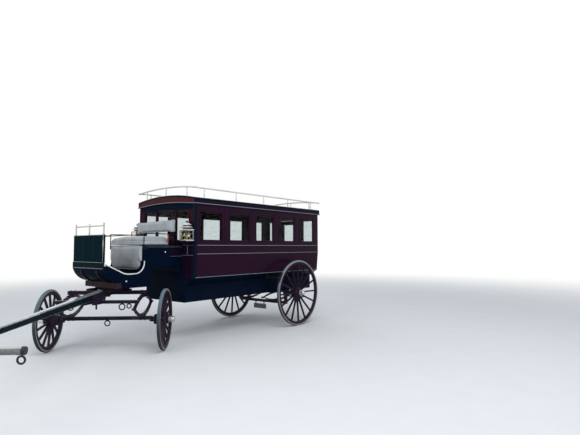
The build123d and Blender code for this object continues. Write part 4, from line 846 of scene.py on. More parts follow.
def close_tree(w, geometry, material):
    """Ends a tree in Realize Instances and Set Material."""
    real = w.add("GeometryNodeRealizeInstances", values={"Geometry": geometry})
    painted = w.add("GeometryNodeSetMaterial", values={"Geometry": real.outputs[0], "Material": material})
    w.add("NodeGroupOutput", values={"Geometry": painted.outputs[0]})
    return w.tree


def instances(w, points, shape, way):
    """A shape at every point, with its own up turned the way that is given there."""
    turn = w.add("FunctionNodeAlignRotationToVector", axis="Z", values={"Vector": way})
    spots = w.add("GeometryNodeInstanceOnPoints", values={
        "Points": points, "Instance": shape, "Rotation": turn.outputs[0]})
    return spots.outputs[0]


def bolt_tree():
    """Domed bolt heads on washers, at points that carry the way they face."""
    w, given, ids = node_tree("Bolt heads", [
        ("Radius", "NodeSocketFloat", 0.008), ("Height", "NodeSocketFloat", 0.005),
        ("Sides", "NodeSocketInt", 6)])
    radius, height = given["Radius"], given["Height"]
    head = w.add("GeometryNodeMeshCone", fill_type="NGON", values={
        "Vertices": given["Sides"], "Radius Bottom": radius,
        "Radius Top": w.product(radius, 0.72), "Depth": height})
    washer = w.add("GeometryNodeMeshCylinder", fill_type="NGON", values={
        "Vertices": 14, "Radius": w.product(radius, 1.45), "Depth": w.product(height, 0.6)})
    both = w.add("GeometryNodeJoinGeometry")
    w.feed(both.inputs[0], head.outputs["Mesh"])
    w.feed(both.inputs[0], washer.outputs["Mesh"])
    facing = w.add("GeometryNodeInputNamedAttribute", data_type="FLOAT_VECTOR", values={"Name": "facing"})
    spots = instances(w, given["Geometry"], both.outputs[0], facing.outputs["Attribute"])
    return close_tree(w, spots, given["Material"]), ids


def welt_tree():
    """A round cord swept along an edge path, for welts, beads, bands and lines."""
    w, given, ids = node_tree("Swept bead", [("Width", "NodeSocketFloat", 0.004)])
    line = w.add("GeometryNodeMeshToCurve", values={"Mesh": given["Geometry"]})
    ring = w.add("GeometryNodeCurvePrimitiveCircle", values={"Resolution": 8, "Radius": given["Width"]})
    swept = w.add("GeometryNodeCurveToMesh", values={
        "Curve": line.outputs["Curve"], "Profile Curve": ring.outputs["Curve"], "Fill Caps": True})
    return close_tree(w, swept.outputs[0], given["Material"]), ids


def stitch_tree():
    """Short stitches at even steps along a path."""
    w, given, ids = node_tree("Stitches", [
        ("Pitch", "NodeSocketFloat", 0.011), ("Radius", "NodeSocketFloat", 0.0011)])
    line = w.add("GeometryNodeMeshToCurve", values={"Mesh": given["Geometry"]})
    steps = w.add("GeometryNodeResampleCurve", mode="LENGTH", values={
        "Curve": line.outputs["Curve"], "Length": given["Pitch"]})
    thread = w.add("GeometryNodeMeshCylinder", values={
        "Vertices": 6, "Radius": given["Radius"], "Depth": w.product(given["Pitch"], 0.62)})
    along = w.add("GeometryNodeInputTangent")
    spots = instances(w, steps.outputs["Curve"], thread.outputs["Mesh"], along.outputs[0])
    return close_tree(w, spots, given["Material"]), ids


TREES = {}
TREE_MAKERS = {"bolts": bolt_tree, "welt": welt_tree, "stitches": stitch_tree}


def grown(name, mesh, kind, finish, body, smooth=True, **values):
    """Runs a tree on a mesh and keeps its result as a plain piece on one body."""
    if kind not in TREES:
        TREES[kind] = TREE_MAKERS[kind]()
    tree, ids = TREES[kind]
    source = bpy.data.objects.new(name + "_path", mesh)
    bpy.context.scene.collection.objects.link(source)
    modifier = source.modifiers.new("Grow", "NODES")
    modifier.node_group = tree
    for label, value in values.items():
        modifier[ids[label.capitalize()]] = value
    modifier[ids["Material"]] = MATERIALS[finish]
    evaluated = source.evaluated_get(bpy.context.evaluated_depsgraph_get())
    result = bpy.data.meshes.new_from_object(evaluated)
    source.modifiers.remove(modifier)
    bpy.data.objects.remove(source)
    bm = bmesh.new()
    bm.from_mesh(result)
    bmesh.ops.recalc_face_normals(bm, faces=bm.faces)
    bm.to_mesh(result)
    bm.free()
    result.name = name
    link_piece(name, result, finish, body, smooth)


def facing_points(name, spots):
    """Loose points that carry the way each faces, from pairs of place and direction."""
    mesh = bpy.data.meshes.new(name)
    mesh.from_pydata([place for place, _ in spots], [], [])
    layer = mesh.attributes.new("facing", "FLOAT_VECTOR", "POINT")
    for item, (_, way) in zip(layer.data, spots):
        item.vector = way
    return mesh


def paths(name, lines, closed=False):
    """Edge paths through lists of places."""
    places, edges = [], []
    for line in lines:
        first = len(places)
        places += line
        edges += [(first + k, first + k + 1) for k in range(len(line) - 1)]
        if closed:
            edges.append((len(places) - 1, first))
    mesh = bpy.data.meshes.new(name)
    mesh.from_pydata(places, edges, [])
    return mesh


def swept(name, lines, finish, width, closed=False, body="coach"):
    """A round bead along lines of places."""
    grown(name, paths(name, lines, closed), "welt", finish, body, width=width)


# Window sashes

def sash_piece(name, node, axis, out, width, body, depth=0.009, rebate=0.007, clearance=0.0004):
    """Sashes that frame every pane of a node on its outer side."""
    bm = bmesh.new()
    margin = rebate + clearance
    for low, high in islands(node):
        for k in range(3):
            if k != axis:
                low[k] += margin
                high[k] -= margin
        face = high[axis] if out > 0 else low[axis]
        low[axis], high[axis] = sorted((face + out * clearance, face + out * depth))
        for a, b in frame_bars(low, high, width, axis):
            add_block(bm, a, b, 0.0015)
    link_piece(name, mesh_from(bm, name), "trim_maroon", body)


SASHES = (      # piece, node of its panes, axis and side that they face, body
    ("sashes_left", "glass_left", 1, 1, "coach"),
    ("sashes_right", "glass_right", 1, -1, "coach"),
    ("sashes_front", "glass_front", 0, 1, "coach"),
    ("sashes_rear", "glass_rear", 0, -1, "coach"),
    ("sash_door", "rear_door_glass", 0, -1, "rear_door"),
)


class OMNIBUS_OT_finishes(bpy.types.Operator):
    """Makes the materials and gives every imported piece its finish"""
    bl_idname = "omnibus.finishes"
    bl_label = "Finishes"

    def execute(self, context):
        make_materials(context.scene.omnibus_colours)
        for finish, nodes in NODES_OF.items():
            for node in nodes:
                mesh = FRAME["nodes"][node].data
                mesh.materials.clear()
                mesh.materials.append(MATERIALS[finish])
        return {"FINISHED"}


class OMNIBUS_OT_windows(bpy.types.Operator):
    """Sashes round the panes of the cabin and the rear door"""
    bl_idname = "omnibus.windows"
    bl_label = "Window sashes"

    def execute(self, context):
        for name, node, axis, out, body in SASHES:
            sash_piece(name, node, axis, out, context.scene.omnibus_sizes.sash_width, body)
        return {"FINISHED"}


# Bolts and bands on the wheels and the running gear

TYRE_THICK, TYRE_EDGE = 0.030, 0.021
RIM_FACE, RIM_BOLT_INSET = 0.0205, 0.026
HUB_BANDS = ((0.040, 0.0655), (-0.128, 0.0695))     # along the axle from the rim's plane, and radius


def wheel_facts(wheel):
    """Middle, outward axle direction and radius of a wheel."""
    joint = joint_of(f"wheel_{wheel}")
    axis = Vector(joint["axis"]).normalized()
    low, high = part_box(f"tyre_{wheel}")
    return Vector(joint["pos_m"]), axis if wheel.endswith("left") else -axis, (high.z - low.z) / 2


def round_axle(middle, out, radius, count=48, start=0.0):
    """Places at even steps round an axle, from the top one on."""
    up = Vector((0, 0, 1))
    side = out.cross(up).normalized()
    angles = [2 * math.pi * (k + start) / count for k in range(count)]
    return [middle + (up * math.cos(angle) + side * math.sin(angle)) * radius for angle in angles]


def tyre_bands(wheel):
    """Narrow worn bands on both side faces of a tyre, beside the rim."""
    middle, out, radius = wheel_facts(wheel)
    bm = bmesh.new()
    steps = 96
    inner, outer = radius - TYRE_THICK + 0.0010, radius - 0.0095
    for side in (-1, 1):
        near, far = out * side * TYRE_EDGE, out * side * (TYRE_EDGE + 0.0010)
        corners = ((inner, near), (outer, near), (outer, far), (inner, far))
        rings = [[bm.verts.new(place) for place in round_axle(middle + offset, out, reach, steps)]
                 for reach, offset in corners]
        for ring, following in zip(rings, rings[1:] + rings[:1]):
            for k in range(steps):
                turn = (k + 1) % steps
                bm.faces.new((ring[k], ring[turn], following[turn], following[k]))
    link_piece(f"tyre_edges_{wheel}", mesh_from(bm, "tyre_edges"), "edge_tan", f"wheel_{wheel}",
               smooth=False)


class OMNIBUS_OT_wheel_irons(bpy.types.Operator):
    """Bolts round the rims, iron bands on the hubs, and worn bands beside the tyres"""
    bl_idname = "omnibus.wheel_irons"
    bl_label = "Wheel irons"

    def execute(self, context):
        sizes = context.scene.omnibus_sizes
        for wheel in WHEELS:
            middle, out, radius = wheel_facts(wheel)
            count = sizes.rear_spokes if wheel.startswith("rear") else sizes.front_spokes
            ring = round_axle(middle, out, radius - TYRE_THICK - RIM_BOLT_INSET, count, 0.5)
            spots = [(place + out * face * RIM_FACE, out * face) for place in ring for face in (1, -1)]
            grown(f"rim_bolts_{wheel}", facing_points("rim", spots), "bolts", "gear_iron", f"wheel_{wheel}",
                  smooth=False, radius=sizes.bolt_radius * 0.75, height=0.004, sides=8)
            bands = [round_axle(middle + out * offset, out, reach) for offset, reach in HUB_BANDS]
            swept(f"hub_bands_{wheel}", bands, "dark_iron", 0.0045, closed=True, body=f"wheel_{wheel}")
            tyre_bands(wheel)
        return {"FINISHED"}


def fore_bolts():
    """Bolt spots on the jaws, splinter bar, spring clamps and bolster, each with the way it faces."""
    up, ahead, left = Vector((0, 0, 1)), TURN @ Vector((1, 0, 0)), TURN @ Vector((0, 1, 0))
    jaw_half, jaw_low, jaw_high, jaw_end = 0.0795, 0.750, 0.835, 0.700
    jaw_bolts = [(s, z) for s in (0.345, 0.395, 0.505, 0.660, jaw_end) for z in (jaw_low, jaw_high)]
    jaw_bolts.remove((jaw_end, jaw_high))
    bar_front, bar_z = 0.4785, 0.743
    clamp_top, clamp_foot, clamp_half = 0.8505, 0.4325, 0.030
    bolster_half, bolster_z = 0.0455, 0.825
    spots = []
    for side in (-1, 1):
        spots += [(on_gear(s, side * jaw_half, z), left * side) for s, z in jaw_bolts]
        spots += [(on_gear(bar_front, side * l, bar_z), ahead) for l in (0.12, 0.30, 0.50)]
        for s in (-clamp_half, clamp_half):
            for l in (0.470, 0.530):
                spots.append((on_gear(s, side * l, clamp_top), up))
                spots.append((on_gear(s * 0.6, side * l, clamp_foot), -up))
        for l in (0.16, 0.36):
            for way in (1, -1):
                spots.append((on_gear(way * bolster_half, side * l, bolster_z), ahead * way))
    return spots


def boot_bolts():
    """Bolt spots on both sides of the boot."""
    return [(on_coach(x, side * (BOOT_HIGH.y + 0.0005), z), Vector((0, side, 0)))
            for side in (-1, 1) for x, z in ((2.675, 1.400), (3.31, 1.000))]


def beam_bolts():
    """Bolt spots on the front of the cross beam."""
    front, level = 3.4455, 0.945
    return [(on_coach(front, side * y, level), Vector((1, 0, 0)))
            for side in (-1, 1) for y in (0.38, 0.25, 0.10)]


class OMNIBUS_OT_gear_irons(bpy.types.Operator):
    """Bolts on the fore-carriage, the boot's sides and the cross beam"""
    bl_idname = "omnibus.gear_irons"
    bl_label = "Running gear irons"

    def execute(self, context):
        radius = context.scene.omnibus_sizes.bolt_radius
        grown("fore_bolts", facing_points("fore", fore_bolts()), "bolts", "dark_iron", "fore_carriage",
              smooth=False, radius=radius, height=0.006, sides=6)
        grown("boot_bolts", facing_points("boot", boot_bolts()), "bolts", "nickel", "coach",
              radius=radius * 1.15, height=0.008, sides=14)
        grown("transom_bolts", facing_points("transom", beam_bolts()), "bolts", "dark_iron", "coach",
              smooth=False, radius=radius * 0.9, height=0.005, sides=6)
        return {"FINISHED"}


# Upholstery

CLOTH_FRAMES = 20
CLOTH_VALUES = {"use_pressure": True, "quality": 4, "mass": 0.3, "tension_stiffness": 12.0,
                "compression_stiffness": 8.0, "bending_stiffness": 1.2}
PATH_STEP = 0.03        # furthest apart that the places of a welt's path are
WELT_SUNK = 0.4         # share of a welt's radius that its path stands off the cushion


def rounded_box_mesh(low, high, round_off):
    """A box cut into squares with its corners rounded off."""
    bm = bmesh.new()
    add_block(bm, low, high)
    bmesh.ops.bevel(bm, geom=bm.edges[:], offset=round_off, segments=3, affect="EDGES", profile=0.6)
    bmesh.ops.subdivide_edges(bm, edges=[e for e in bm.edges if e.calc_length() > 0.05], cuts=3,
                              use_grid_fill=True)
    bmesh.ops.triangulate(bm, faces=[f for f in bm.faces if len(f.verts) > 4])
    return bm


def inflate(name, bm, sizes, pressure, cap, pinned=None):
    """Remeshes a closed form, blows it up as cloth, and limits how far each point may go."""
    scene = bpy.context.scene
    cloth = bpy.data.objects.new(name + "_cloth", mesh_from(bm, name))
    scene.collection.objects.link(cloth)
    cloth.data.remesh_voxel_size = sizes.remesh_size
    cloth.data.remesh_voxel_adaptivity = 0.0
    bpy.context.view_layer.objects.active = cloth
    cloth.select_set(True)
    bpy.ops.object.voxel_remesh()
    cloth.select_set(False)
    before = [vert.co.copy() for vert in cloth.data.vertices]
    modifier = cloth.modifiers.new("Cloth", "CLOTH")
    settings = modifier.settings
    for label, value in CLOTH_VALUES.items():
        setattr(settings, label, value)
    settings.uniform_pressure_force = pressure
    settings.effector_weights.gravity = 0.0
    modifier.collision_settings.use_collision = False
    if pinned is not None:
        held = [vert.index for vert in cloth.data.vertices if pinned(vert.co - AXLE_FOOT)]
        cloth.vertex_groups.new(name="held").add(held, 1.0, "REPLACE")
        settings.vertex_group_mass = "held"
    scene.frame_start, scene.frame_end = 1, CLOTH_FRAMES
    for frame in range(1, CLOTH_FRAMES + 1):
        scene.frame_set(frame)
    evaluated = cloth.evaluated_get(bpy.context.evaluated_depsgraph_get())
    swollen = bpy.data.meshes.new_from_object(evaluated)
    cloth.modifiers.remove(modifier)
    bpy.data.objects.remove(cloth)
    scene.frame_set(1)
    for vert, start in zip(swollen.vertices, before):
        move = vert.co - start
        if move.length > cap:
            vert.co = start + move * (cap / move.length)
    return swollen


def smooth_mesh(mesh, rounds):
    """Evens out a mesh a little."""
    bm = bmesh.new()
    bm.from_mesh(mesh)
    for _ in range(rounds):
        bmesh.ops.smooth_vert(bm, verts=bm.verts, factor=0.5, use_axis_x=True, use_axis_y=True,
                              use_axis_z=True)
    bmesh.ops.recalc_face_normals(bm, faces=bm.faces)
    bm.to_mesh(mesh)
    bm.free()
    return mesh


def puffed(name, low, high, sizes, shrink, round_off, cap, pinned=None):
    less = Vector((shrink,) * 3)
    bm = rounded_box_mesh(low + AXLE_FOOT + less, high + AXLE_FOOT - less, round_off)
    return smooth_mesh(inflate(name, bm, sizes, sizes.pressure, cap, pinned), 2)


def clamp_mesh(mesh, low, high):
    """Keeps a mesh between two corners, measured from the rear axle's foot."""
    a, b = low + AXLE_FOOT, high + AXLE_FOOT
    for vert in mesh.vertices:
        vert.co = Vector([min(max(vert.co[k], a[k]), b[k]) for k in range(3)])


def fill_box(mesh, low, high):
    """Stretches a mesh until it fills the box between two corners, measured from the rear axle's foot."""
    a, b = low + AXLE_FOOT, high + AXLE_FOOT
    for k in range(3):
        places = [vert.co[k] for vert in mesh.vertices]
        first, last = min(places), max(places)
        for vert in mesh.vertices:
            vert.co[k] = a[k] + (vert.co[k] - first) / (last - first) * (b[k] - a[k])


def crease(mesh, where, depth, width):
    """Presses a groove into a mesh: where gives a point's distance from the groove and the way in."""
    for vert in mesh.vertices:
        distance, way_in = where(vert.co - AXLE_FOOT)
        if distance < width:
            share = 0.5 + 0.5 * math.cos(math.pi * distance / width)
            vert.co += way_in * depth * share


def reshape(mesh, move):
    """Moves every point by what move gives for its place on the coach."""
    for vert in mesh.vertices:
        vert.co += move(vert.co - AXLE_FOOT)


def wrinkle(mesh, amount, scale, where=None):
    """Small soft folds from fixed noise."""
    mesh.update()
    moves = []
    for vert in mesh.vertices:
        place = vert.co * scale
        value = noise.noise(Vector((place.x, place.y * 1.4, place.z * 0.8)))
        weight = 1.0 if where is None else where(vert.co - AXLE_FOOT)
        moves.append(vert.normal.copy() * value * amount * weight)
    for vert, move in zip(mesh.vertices, moves):
        vert.co += move


def padded_piece(name, mesh, finish, node, soften=True):
    """Turns a finished cushion mesh into a padded piece in place of its solid."""
    piece = link_piece(name, mesh, finish, "coach")
    if soften:
        modifier = piece.modifiers.new("Soften", "SUBSURF")
        modifier.levels = 1
        modifier.render_levels = 1
    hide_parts(node)


def rounded_loop(first, second, round_off, place, inset=0.001, steps=5):
    """A closed rectangle with rounded corners: two spans, and what turns two measures into a place."""
    reach = inset + round_off
    (u0, u1), (v0, v1) = first, second
    corners = ((u1 - reach, v1 - reach), (u0 + reach, v1 - reach), (u0 + reach, v0 + reach),
               (u1 - reach, v0 + reach))
    loop = []
    for quarter, (u, v) in enumerate(corners):
        for k in range(steps + 1):
            angle = math.radians(90 * quarter + 90 * k / steps)
            loop.append(place(u + round_off * math.cos(angle), v + round_off * math.sin(angle)))
    return loop


def between(line, closed):
    """A line of places with more places between them, no further apart than a step."""
    ends = line[1:] + line[:1] if closed else line[1:]
    fuller = []
    for a, b in zip(line, ends):
        count = max(1, math.ceil((b - a).length / PATH_STEP))
        fuller += [a.lerp(b, k / count) for k in range(count)]
    return fuller if closed else fuller + [line[-1]]


def laid_on(mesh, line, lift, move=None, closed=True):
    """A line moved as the mesh was, onto the mesh's nearest surface and a little proud of it."""
    tree = BVHTree.FromPolygons([vert.co.copy() for vert in mesh.vertices],
                                [tuple(face.vertices) for face in mesh.polygons])
    laid = []
    for place in between(line, closed):
        if move is not None:
            place = place + move(place - AXLE_FOOT)
        nearest, normal, _, _ = tree.find_nearest(place)
        laid.append(nearest + normal * lift)
    return laid


class OMNIBUS_OT_driver_seat(bpy.types.Operator):
    """Driver's cushion, apron and backrest with their welts and stitches, and the strap beside them"""
    bl_idname = "omnibus.driver_seat"
    bl_label = "Driver's seat"

    def execute(self, context):
        sizes = context.scene.omnibus_sizes
        self.cushion(sizes)
        self.apron(sizes)
        self.back(sizes)
        self.strap()
        return {"FINISHED"}

    def cushion(self, sizes):
        low, high = SEAT_LOW, SEAT_HIGH
        mesh = puffed("seat_cushion_grey", low, high, sizes, shrink=0.007, round_off=0.018, cap=0.016,
                      pinned=lambda p: p.z < low.z + 0.014)
        seam_z, front_seam_z = high.z - 0.032, low.z + 0.030

        def side_seam(p):
            way_in = Vector((high.x - 0.2 - p.x, -p.y, 0))
            inside = min(p.x - low.x, high.x - p.x, p.y - low.y, high.y - p.y)
            return (abs(p.z - seam_z), way_in.normalized()) if inside < 0.03 else (1.0, way_in)

        def front_seam(p):
            return (abs(p.z - front_seam_z) if p.x > high.x - 0.03 else 1.0), Vector((-1, 0, 0))

        crease(mesh, side_seam, depth=0.004, width=0.012)
        crease(mesh, front_seam, depth=0.005, width=0.012)
        wrinkle(mesh, amount=0.0035, scale=11.0)
        clamp_mesh(mesh, low - Vector((0.004, 0.004, 0)), high + Vector((0.006, 0.004, 0.008)))
        half = high - (high + low) / 2

        def swell(p):
            """Crown on top, a roll to the front, and a hollow where the driver sits."""
            rise = max(0.0, (p.z - low.z) / (high.z - low.z))
            across, along = p.y / half.y, (p.x - (high.x + low.x) / 2) / half.x
            crown = (1 - min(1.0, abs(across)) ** 6) * (1 - 0.6 * min(1.0, abs(along)) ** 4)
            sag = 0.5 - 0.5 * math.cos(math.pi * min(1.0, max(0.0, -0.15 - across) / 0.85))
            roll = max(0.0, along) ** 4 * math.sin(math.pi * min(1.0, rise * 0.9 + 0.1))
            return Vector((0.016 * roll, 0, (0.021 * crown - 0.017 * sag) * rise))

        reshape(mesh, swell)
        loop = rounded_loop((low.x, high.x), (low.y, high.y), 0.030, lambda x, y: on_coach(x, y, seam_z))
        loop = laid_on(mesh, loop, sizes.welt_radius * WELT_SUNK, swell)
        ends = [on_coach(high.x + 0.0015, y, low.z + 0.018) for y in (low.y + 0.02, high.y - 0.02)]
        edge = laid_on(mesh, ends, 0.0004, closed=False)
        padded_piece("seat_cushion_grey", mesh, "seat_grey", "seat_cushion")
        swept("seat_welt", [loop], "seat_grey", sizes.welt_radius, closed=True)
        grown("seat_stitches", paths("seat_stitches", [edge]), "stitches", "seat_grey", "coach",
              pitch=sizes.stitch_pitch, radius=0.0012)

    def apron_outline(self, half, bottom, top):
        """The apron's outline across the coach: an ear at each side and a rounded foot."""
        step, corner = 0.034, 0.105
        ear, inner = bottom + 0.125, half - step
        side = [(half, top), (half, ear + 0.012), (half - 0.010, ear), (inner, ear + 0.004)]
        foot = []
        for start, middle in ((180, -inner + corner), (270, inner - corner)):
            for k in range(9):
                angle = math.radians(start + 90 * k / 8)
                foot.append((middle + corner * math.cos(angle), bottom + corner + corner * math.sin(angle)))
        return [(-y, z) for y, z in side] + foot + side[::-1]

    def apron(self, sizes):
        low, high = APRON_LOW, APRON_HIGH
        bottom, top = low.z + 0.030, high.z - 0.002
        outline = self.apron_outline(high.y - 0.004, bottom, top)
        rear, front = low.x + 0.0015, high.x - 0.010
        bm = bmesh.new()
        face = bm.faces.new([bm.verts.new(on_coach(rear, y, z)) for y, z in outline])
        pushed = bmesh.ops.extrude_face_region(bm, geom=[face])
        moved = [item for item in pushed["geom"] if isinstance(item, bmesh.types.BMVert)]
        bmesh.ops.translate(bm, verts=moved, vec=Vector((front - rear, 0, 0)))
        bmesh.ops.triangulate(bm, faces=bm.faces[:])
        mesh = inflate("seat_apron_grey", bm, sizes, sizes.pressure * 0.6, 0.008,
                       pinned=lambda p: p.x < low.x + 0.006)
        mesh = smooth_mesh(mesh, 3)
        crease(mesh, lambda p: (abs(p.z - top + 0.020), Vector((-1, 0, 0))), depth=0.0030, width=0.010)
        wrinkle(mesh, amount=0.0070, scale=7.0, where=lambda p: 1.0 if p.x > low.x + 0.010 else 0.0)
        clamp_mesh(mesh, low + Vector((0.0006, -0.003, -0.003)), high + Vector((0.006, 0.003, 0.0)))

        def hang(p):
            """The apron hangs a little forward, most at its middle height."""
            ahead = min(1.0, max(0.0, (p.x - low.x) / (high.x - low.x)))
            down = min(1.0, max(0.0, (top - p.z) / (top - bottom)))
            return Vector((ahead * 0.018 * math.sin(math.pi * (0.12 + 0.80 * down)), 0, 0))

        reshape(mesh, hang)
        shrunk = 0.988
        edge = [on_coach(high.x - 0.005, y * shrunk, bottom + (z - bottom) * shrunk + 0.004)
                for y, z in outline[1:-1]]
        edge = laid_on(mesh, edge, sizes.welt_radius * WELT_SUNK, hang, closed=False)
        padded_piece("seat_apron_grey", mesh, "seat_grey", "seat_apron")
        swept("apron_welt", [edge], "seat_grey", sizes.welt_radius)

    def back(self, sizes):
        low, high = BACK_LOW, BACK_HIGH
        mesh = puffed("seat_back_grey", low, high, sizes, shrink=0.008, round_off=0.020, cap=0.014)
        wrinkle(mesh, amount=0.0035, scale=9.0)
        fill_box(mesh, low, high)
        clamp_mesh(mesh, low + Vector((0.0006, -0.004, -0.003)), high + Vector((0.010, 0.004, 0.008)))

        def lean(p):
            """Fuller in front, and lower towards the driver's end."""
            ahead = max(0.0, (p.x - low.x) / (high.x - low.x))
            across = p.y / high.y
            fuller = 0.012 * ahead * ahead * (1 - min(1.0, abs(across)) ** 6)
            fall = 0.5 - 0.5 * across
            deeper = (0.012 - 0.004 * fall) * max(0.0, (high.z - p.z) / (high.z - low.z))
            pulled = -0.014 * max(0.0, across) ** 8
            return Vector((fuller, pulled, -0.020 * fall - deeper))

        reshape(mesh, lean)
        loops = []
        for x, round_off in ((high.x - 0.012, 0.028), (low.x + 0.012, 0.020)):
            loop = rounded_loop((low.y, high.y), (low.z, high.z), round_off, lambda y, z: on_coach(x, y, z))
            loops.append(laid_on(mesh, loop, sizes.welt_radius * WELT_SUNK, lean))
        padded_piece("seat_back_grey", mesh, "seat_grey", "seat_back")
        swept("back_welt", loops, "seat_grey", sizes.welt_radius * 0.9, closed=True)

    def strap(self):
        """The short red strap that hangs from the seat rail beside the cushion."""
        half, thick, steps = 0.011, 0.003, 8
        x, y = 2.640, coach_box("seat_irons")[1].y - 0.014
        top, foot = 1.672, SEAT_LOW.z + 0.045
        bm = bmesh.new()
        rings = []
        for k in range(steps + 1):
            z = top + (foot - top) * k / steps
            near = y + 0.004 * math.sin(math.pi * k / steps)
            far = near + thick
            corners = ((x - half, near), (x + half, near), (x + half, far), (x - half, far))
            rings.append([bm.verts.new(on_coach(a, b, z)) for a, b in corners])
        for a, b in zip(rings, rings[1:]):
            for k in range(4):
                bm.faces.new((a[k], a[(k + 1) % 4], b[(k + 1) % 4], b[k]))
        bm.faces.new(rings[0][::-1])
        bm.faces.new(rings[-1])
        link_piece("seat_strap", mesh_from(bm, "seat_strap"), "strap_red", "coach", smooth=False)


def channelled_mesh(low, high, across=10, along=98, channels=14, margin=0.004, crown=0.026):
    """A bench cushion between two corners, sewn in channels across its length."""
    bm = bmesh.new()
    top, bottom = [], []
    for i in range(along + 1):
        x = low.x + margin + (high.x - low.x - 2 * margin) * i / along
        full = 0.62 + 0.38 * abs(math.sin(math.pi * channels * i / along)) ** 0.5
        top.append([])
        bottom.append([])
        for j in range(across + 1):
            share = j / across
            y = low.y + margin + (high.y - low.y - 2 * margin) * share
            z = high.z - crown + crown * math.sin(math.pi * share) ** 0.4 * full
            top[i].append(bm.verts.new(on_coach(x, y, z)))
            bottom[i].append(bm.verts.new(on_coach(x, y, low.z + 0.0005)))
    for i in range(along):
        for j in range(across):
            for grid in (top, bottom):
                bm.faces.new((grid[i][j], grid[i + 1][j], grid[i + 1][j + 1], grid[i][j + 1]))
        for j in (0, across):
            bm.faces.new((top[i][j], bottom[i][j], bottom[i + 1][j], top[i + 1][j]))
    for j in range(across):
        for i in (0, along):
            bm.faces.new((top[i][j], top[i][j + 1], bottom[i][j + 1], bottom[i][j]))
    return mesh_from(bm, "bench_pad")


class OMNIBUS_OT_cabin_benches(bpy.types.Operator):
    """Bench cushions of the cabin, sewn in channels"""
    bl_idname = "omnibus.cabin_benches"
    bl_label = "Cabin benches"

    def execute(self, context):
        for side in ("left", "right"):
            node = f"bench_cushion_{side}"
            low, high = coach_box(node)
            padded_piece(f"bench_pad_{side}", channelled_mesh(low, high), "bench_hide", node,
                         soften=False)
        return {"FINISHED"}


# Lamps and small trim

LAMP_BEADS = ((0.0265, 0.0662), (0.0635, 0.0528))   # level above the hood's foot, and half width
RIM_NEAR, RIM_FAR = 0.0722, 0.0742                  # faces of a pane's rim, from the lamp's middle
LINER_NEAR, LINER_FAR = 0.0655, 0.0665              # faces of a lining


class OMNIBUS_OT_lamps(bpy.types.Operator):
    """Silvered linings, reflectors, plated rims and beads of the lamps"""
    bl_idname = "omnibus.lamps"
    bl_label = "Lamps"

    def execute(self, context):
        for side, out in (("left", 1), ("right", -1)):
            low, high = coach_box(f"lamp_{side}")
            hood = high.z - LAMP_HOOD
            middle = on_coach(high.x - LAMP_HALF, (low.y + high.y) / 2, hood - LAMP_PANES)
            self.liners(side, middle, out)
            self.reflectors(side, middle, out)
            beads = [[middle + Vector((a * half, b * half, LAMP_PANES + level))
                      for a, b in ((1, 1), (-1, 1), (-1, -1), (1, -1))] for level, half in LAMP_BEADS]
            swept(f"lamp_beads_{side}", beads, "nickel", 0.0028, closed=True)
            self.rims(side, middle, out)
        return {"FINISHED"}

    def rims(self, side, middle, out):
        """Narrow plated rims round the panes that face ahead and outward."""
        bm = bmesh.new()
        wide, tall = 0.0638, 0.075
        near, far = sorted((out * RIM_NEAR, out * RIM_FAR))
        panes = ((Vector((RIM_NEAR, -wide, -tall)), Vector((RIM_FAR, wide, tall))),
                 (Vector((-wide, near, -tall)), Vector((wide, far, tall))))
        for axis, (low, high) in enumerate(panes):
            beside_post = 3 if axis == 1 or out > 0 else 2
            for k, (a, b) in enumerate(frame_bars(middle + low, middle + high, 0.0055, axis)):
                if k != beside_post:
                    add_block(bm, a, b, 0.0006)
        link_piece(f"lamp_rims_{side}", mesh_from(bm, "lamp_rims"), "nickel", "coach")

    def liners(self, side, middle, out):
        """Silvered sheets behind the rear and the inner pane."""
        bm = bmesh.new()
        wide, tall = 0.056, 0.074
        near, far = sorted((-out * LINER_FAR, -out * LINER_NEAR))
        for low, high in (((-LINER_FAR, -wide, -tall), (-LINER_NEAR, wide, tall)),
                          ((-wide, near, -tall), (wide, far, tall))):
            add_block(bm, middle + Vector(low), middle + Vector(high))
        link_piece(f"lamp_liners_{side}", mesh_from(bm, "lamp_liners"), "lamp_silver", "coach", smooth=False)

    def reflectors(self, side, middle, out):
        """Round dished reflectors that face ahead and outward."""
        bm = bmesh.new()
        rings, steps, radius, dish, behind = 6, 24, 0.034, 0.014, 0.061
        ahead, left, up = Vector((1, 0, 0)), Vector((0, 1, 0)), Vector((0, 0, 1))
        for way, across in ((ahead, left), (left * out, ahead)):
            grid = []
            for share in [r / rings for r in range(rings + 1)]:
                ring = []
                for k in range(steps):
                    angle = 2 * math.pi * k / steps
                    spoke = across * math.cos(angle) + up * math.sin(angle)
                    ring.append(bm.verts.new(middle + way * (dish * share ** 2 - behind)
                                             + spoke * (radius * share)))
                grid.append(ring)
            for a, b in zip(grid, grid[1:]):
                for k in range(steps):
                    bm.faces.new((a[k], b[k], b[(k + 1) % steps], a[(k + 1) % steps]))
        bmesh.ops.remove_doubles(bm, verts=bm.verts, dist=1e-5)
        bmesh.ops.recalc_face_normals(bm, faces=bm.faces)
        bmesh.ops.solidify(bm, geom=bm.faces[:], thickness=0.0012)
        link_piece(f"lamp_reflectors_{side}", mesh_from(bm, "lamp_reflectors"), "nickel", "coach")


def roof_edge_path():
    """Places round the roof's upper edge, over the crown at both ends."""
    low, high = ROOF_LOW, ROOF_HIGH
    inset, lift, steps = 0.010, 0.003, 24
    half = high.y - inset
    radius = (high.y ** 2 + ROOF_RISE ** 2) / (2 * ROOF_RISE)
    ends = ((high.x - inset, half), (low.x + inset, -half))
    path = []
    for x, first in ends:
        for k in range(steps + 1):
            y = first - 2 * first * k / steps
            path.append(on_coach(x, y, high.z - radius + math.sqrt(radius ** 2 - y ** 2) + lift))
    return path


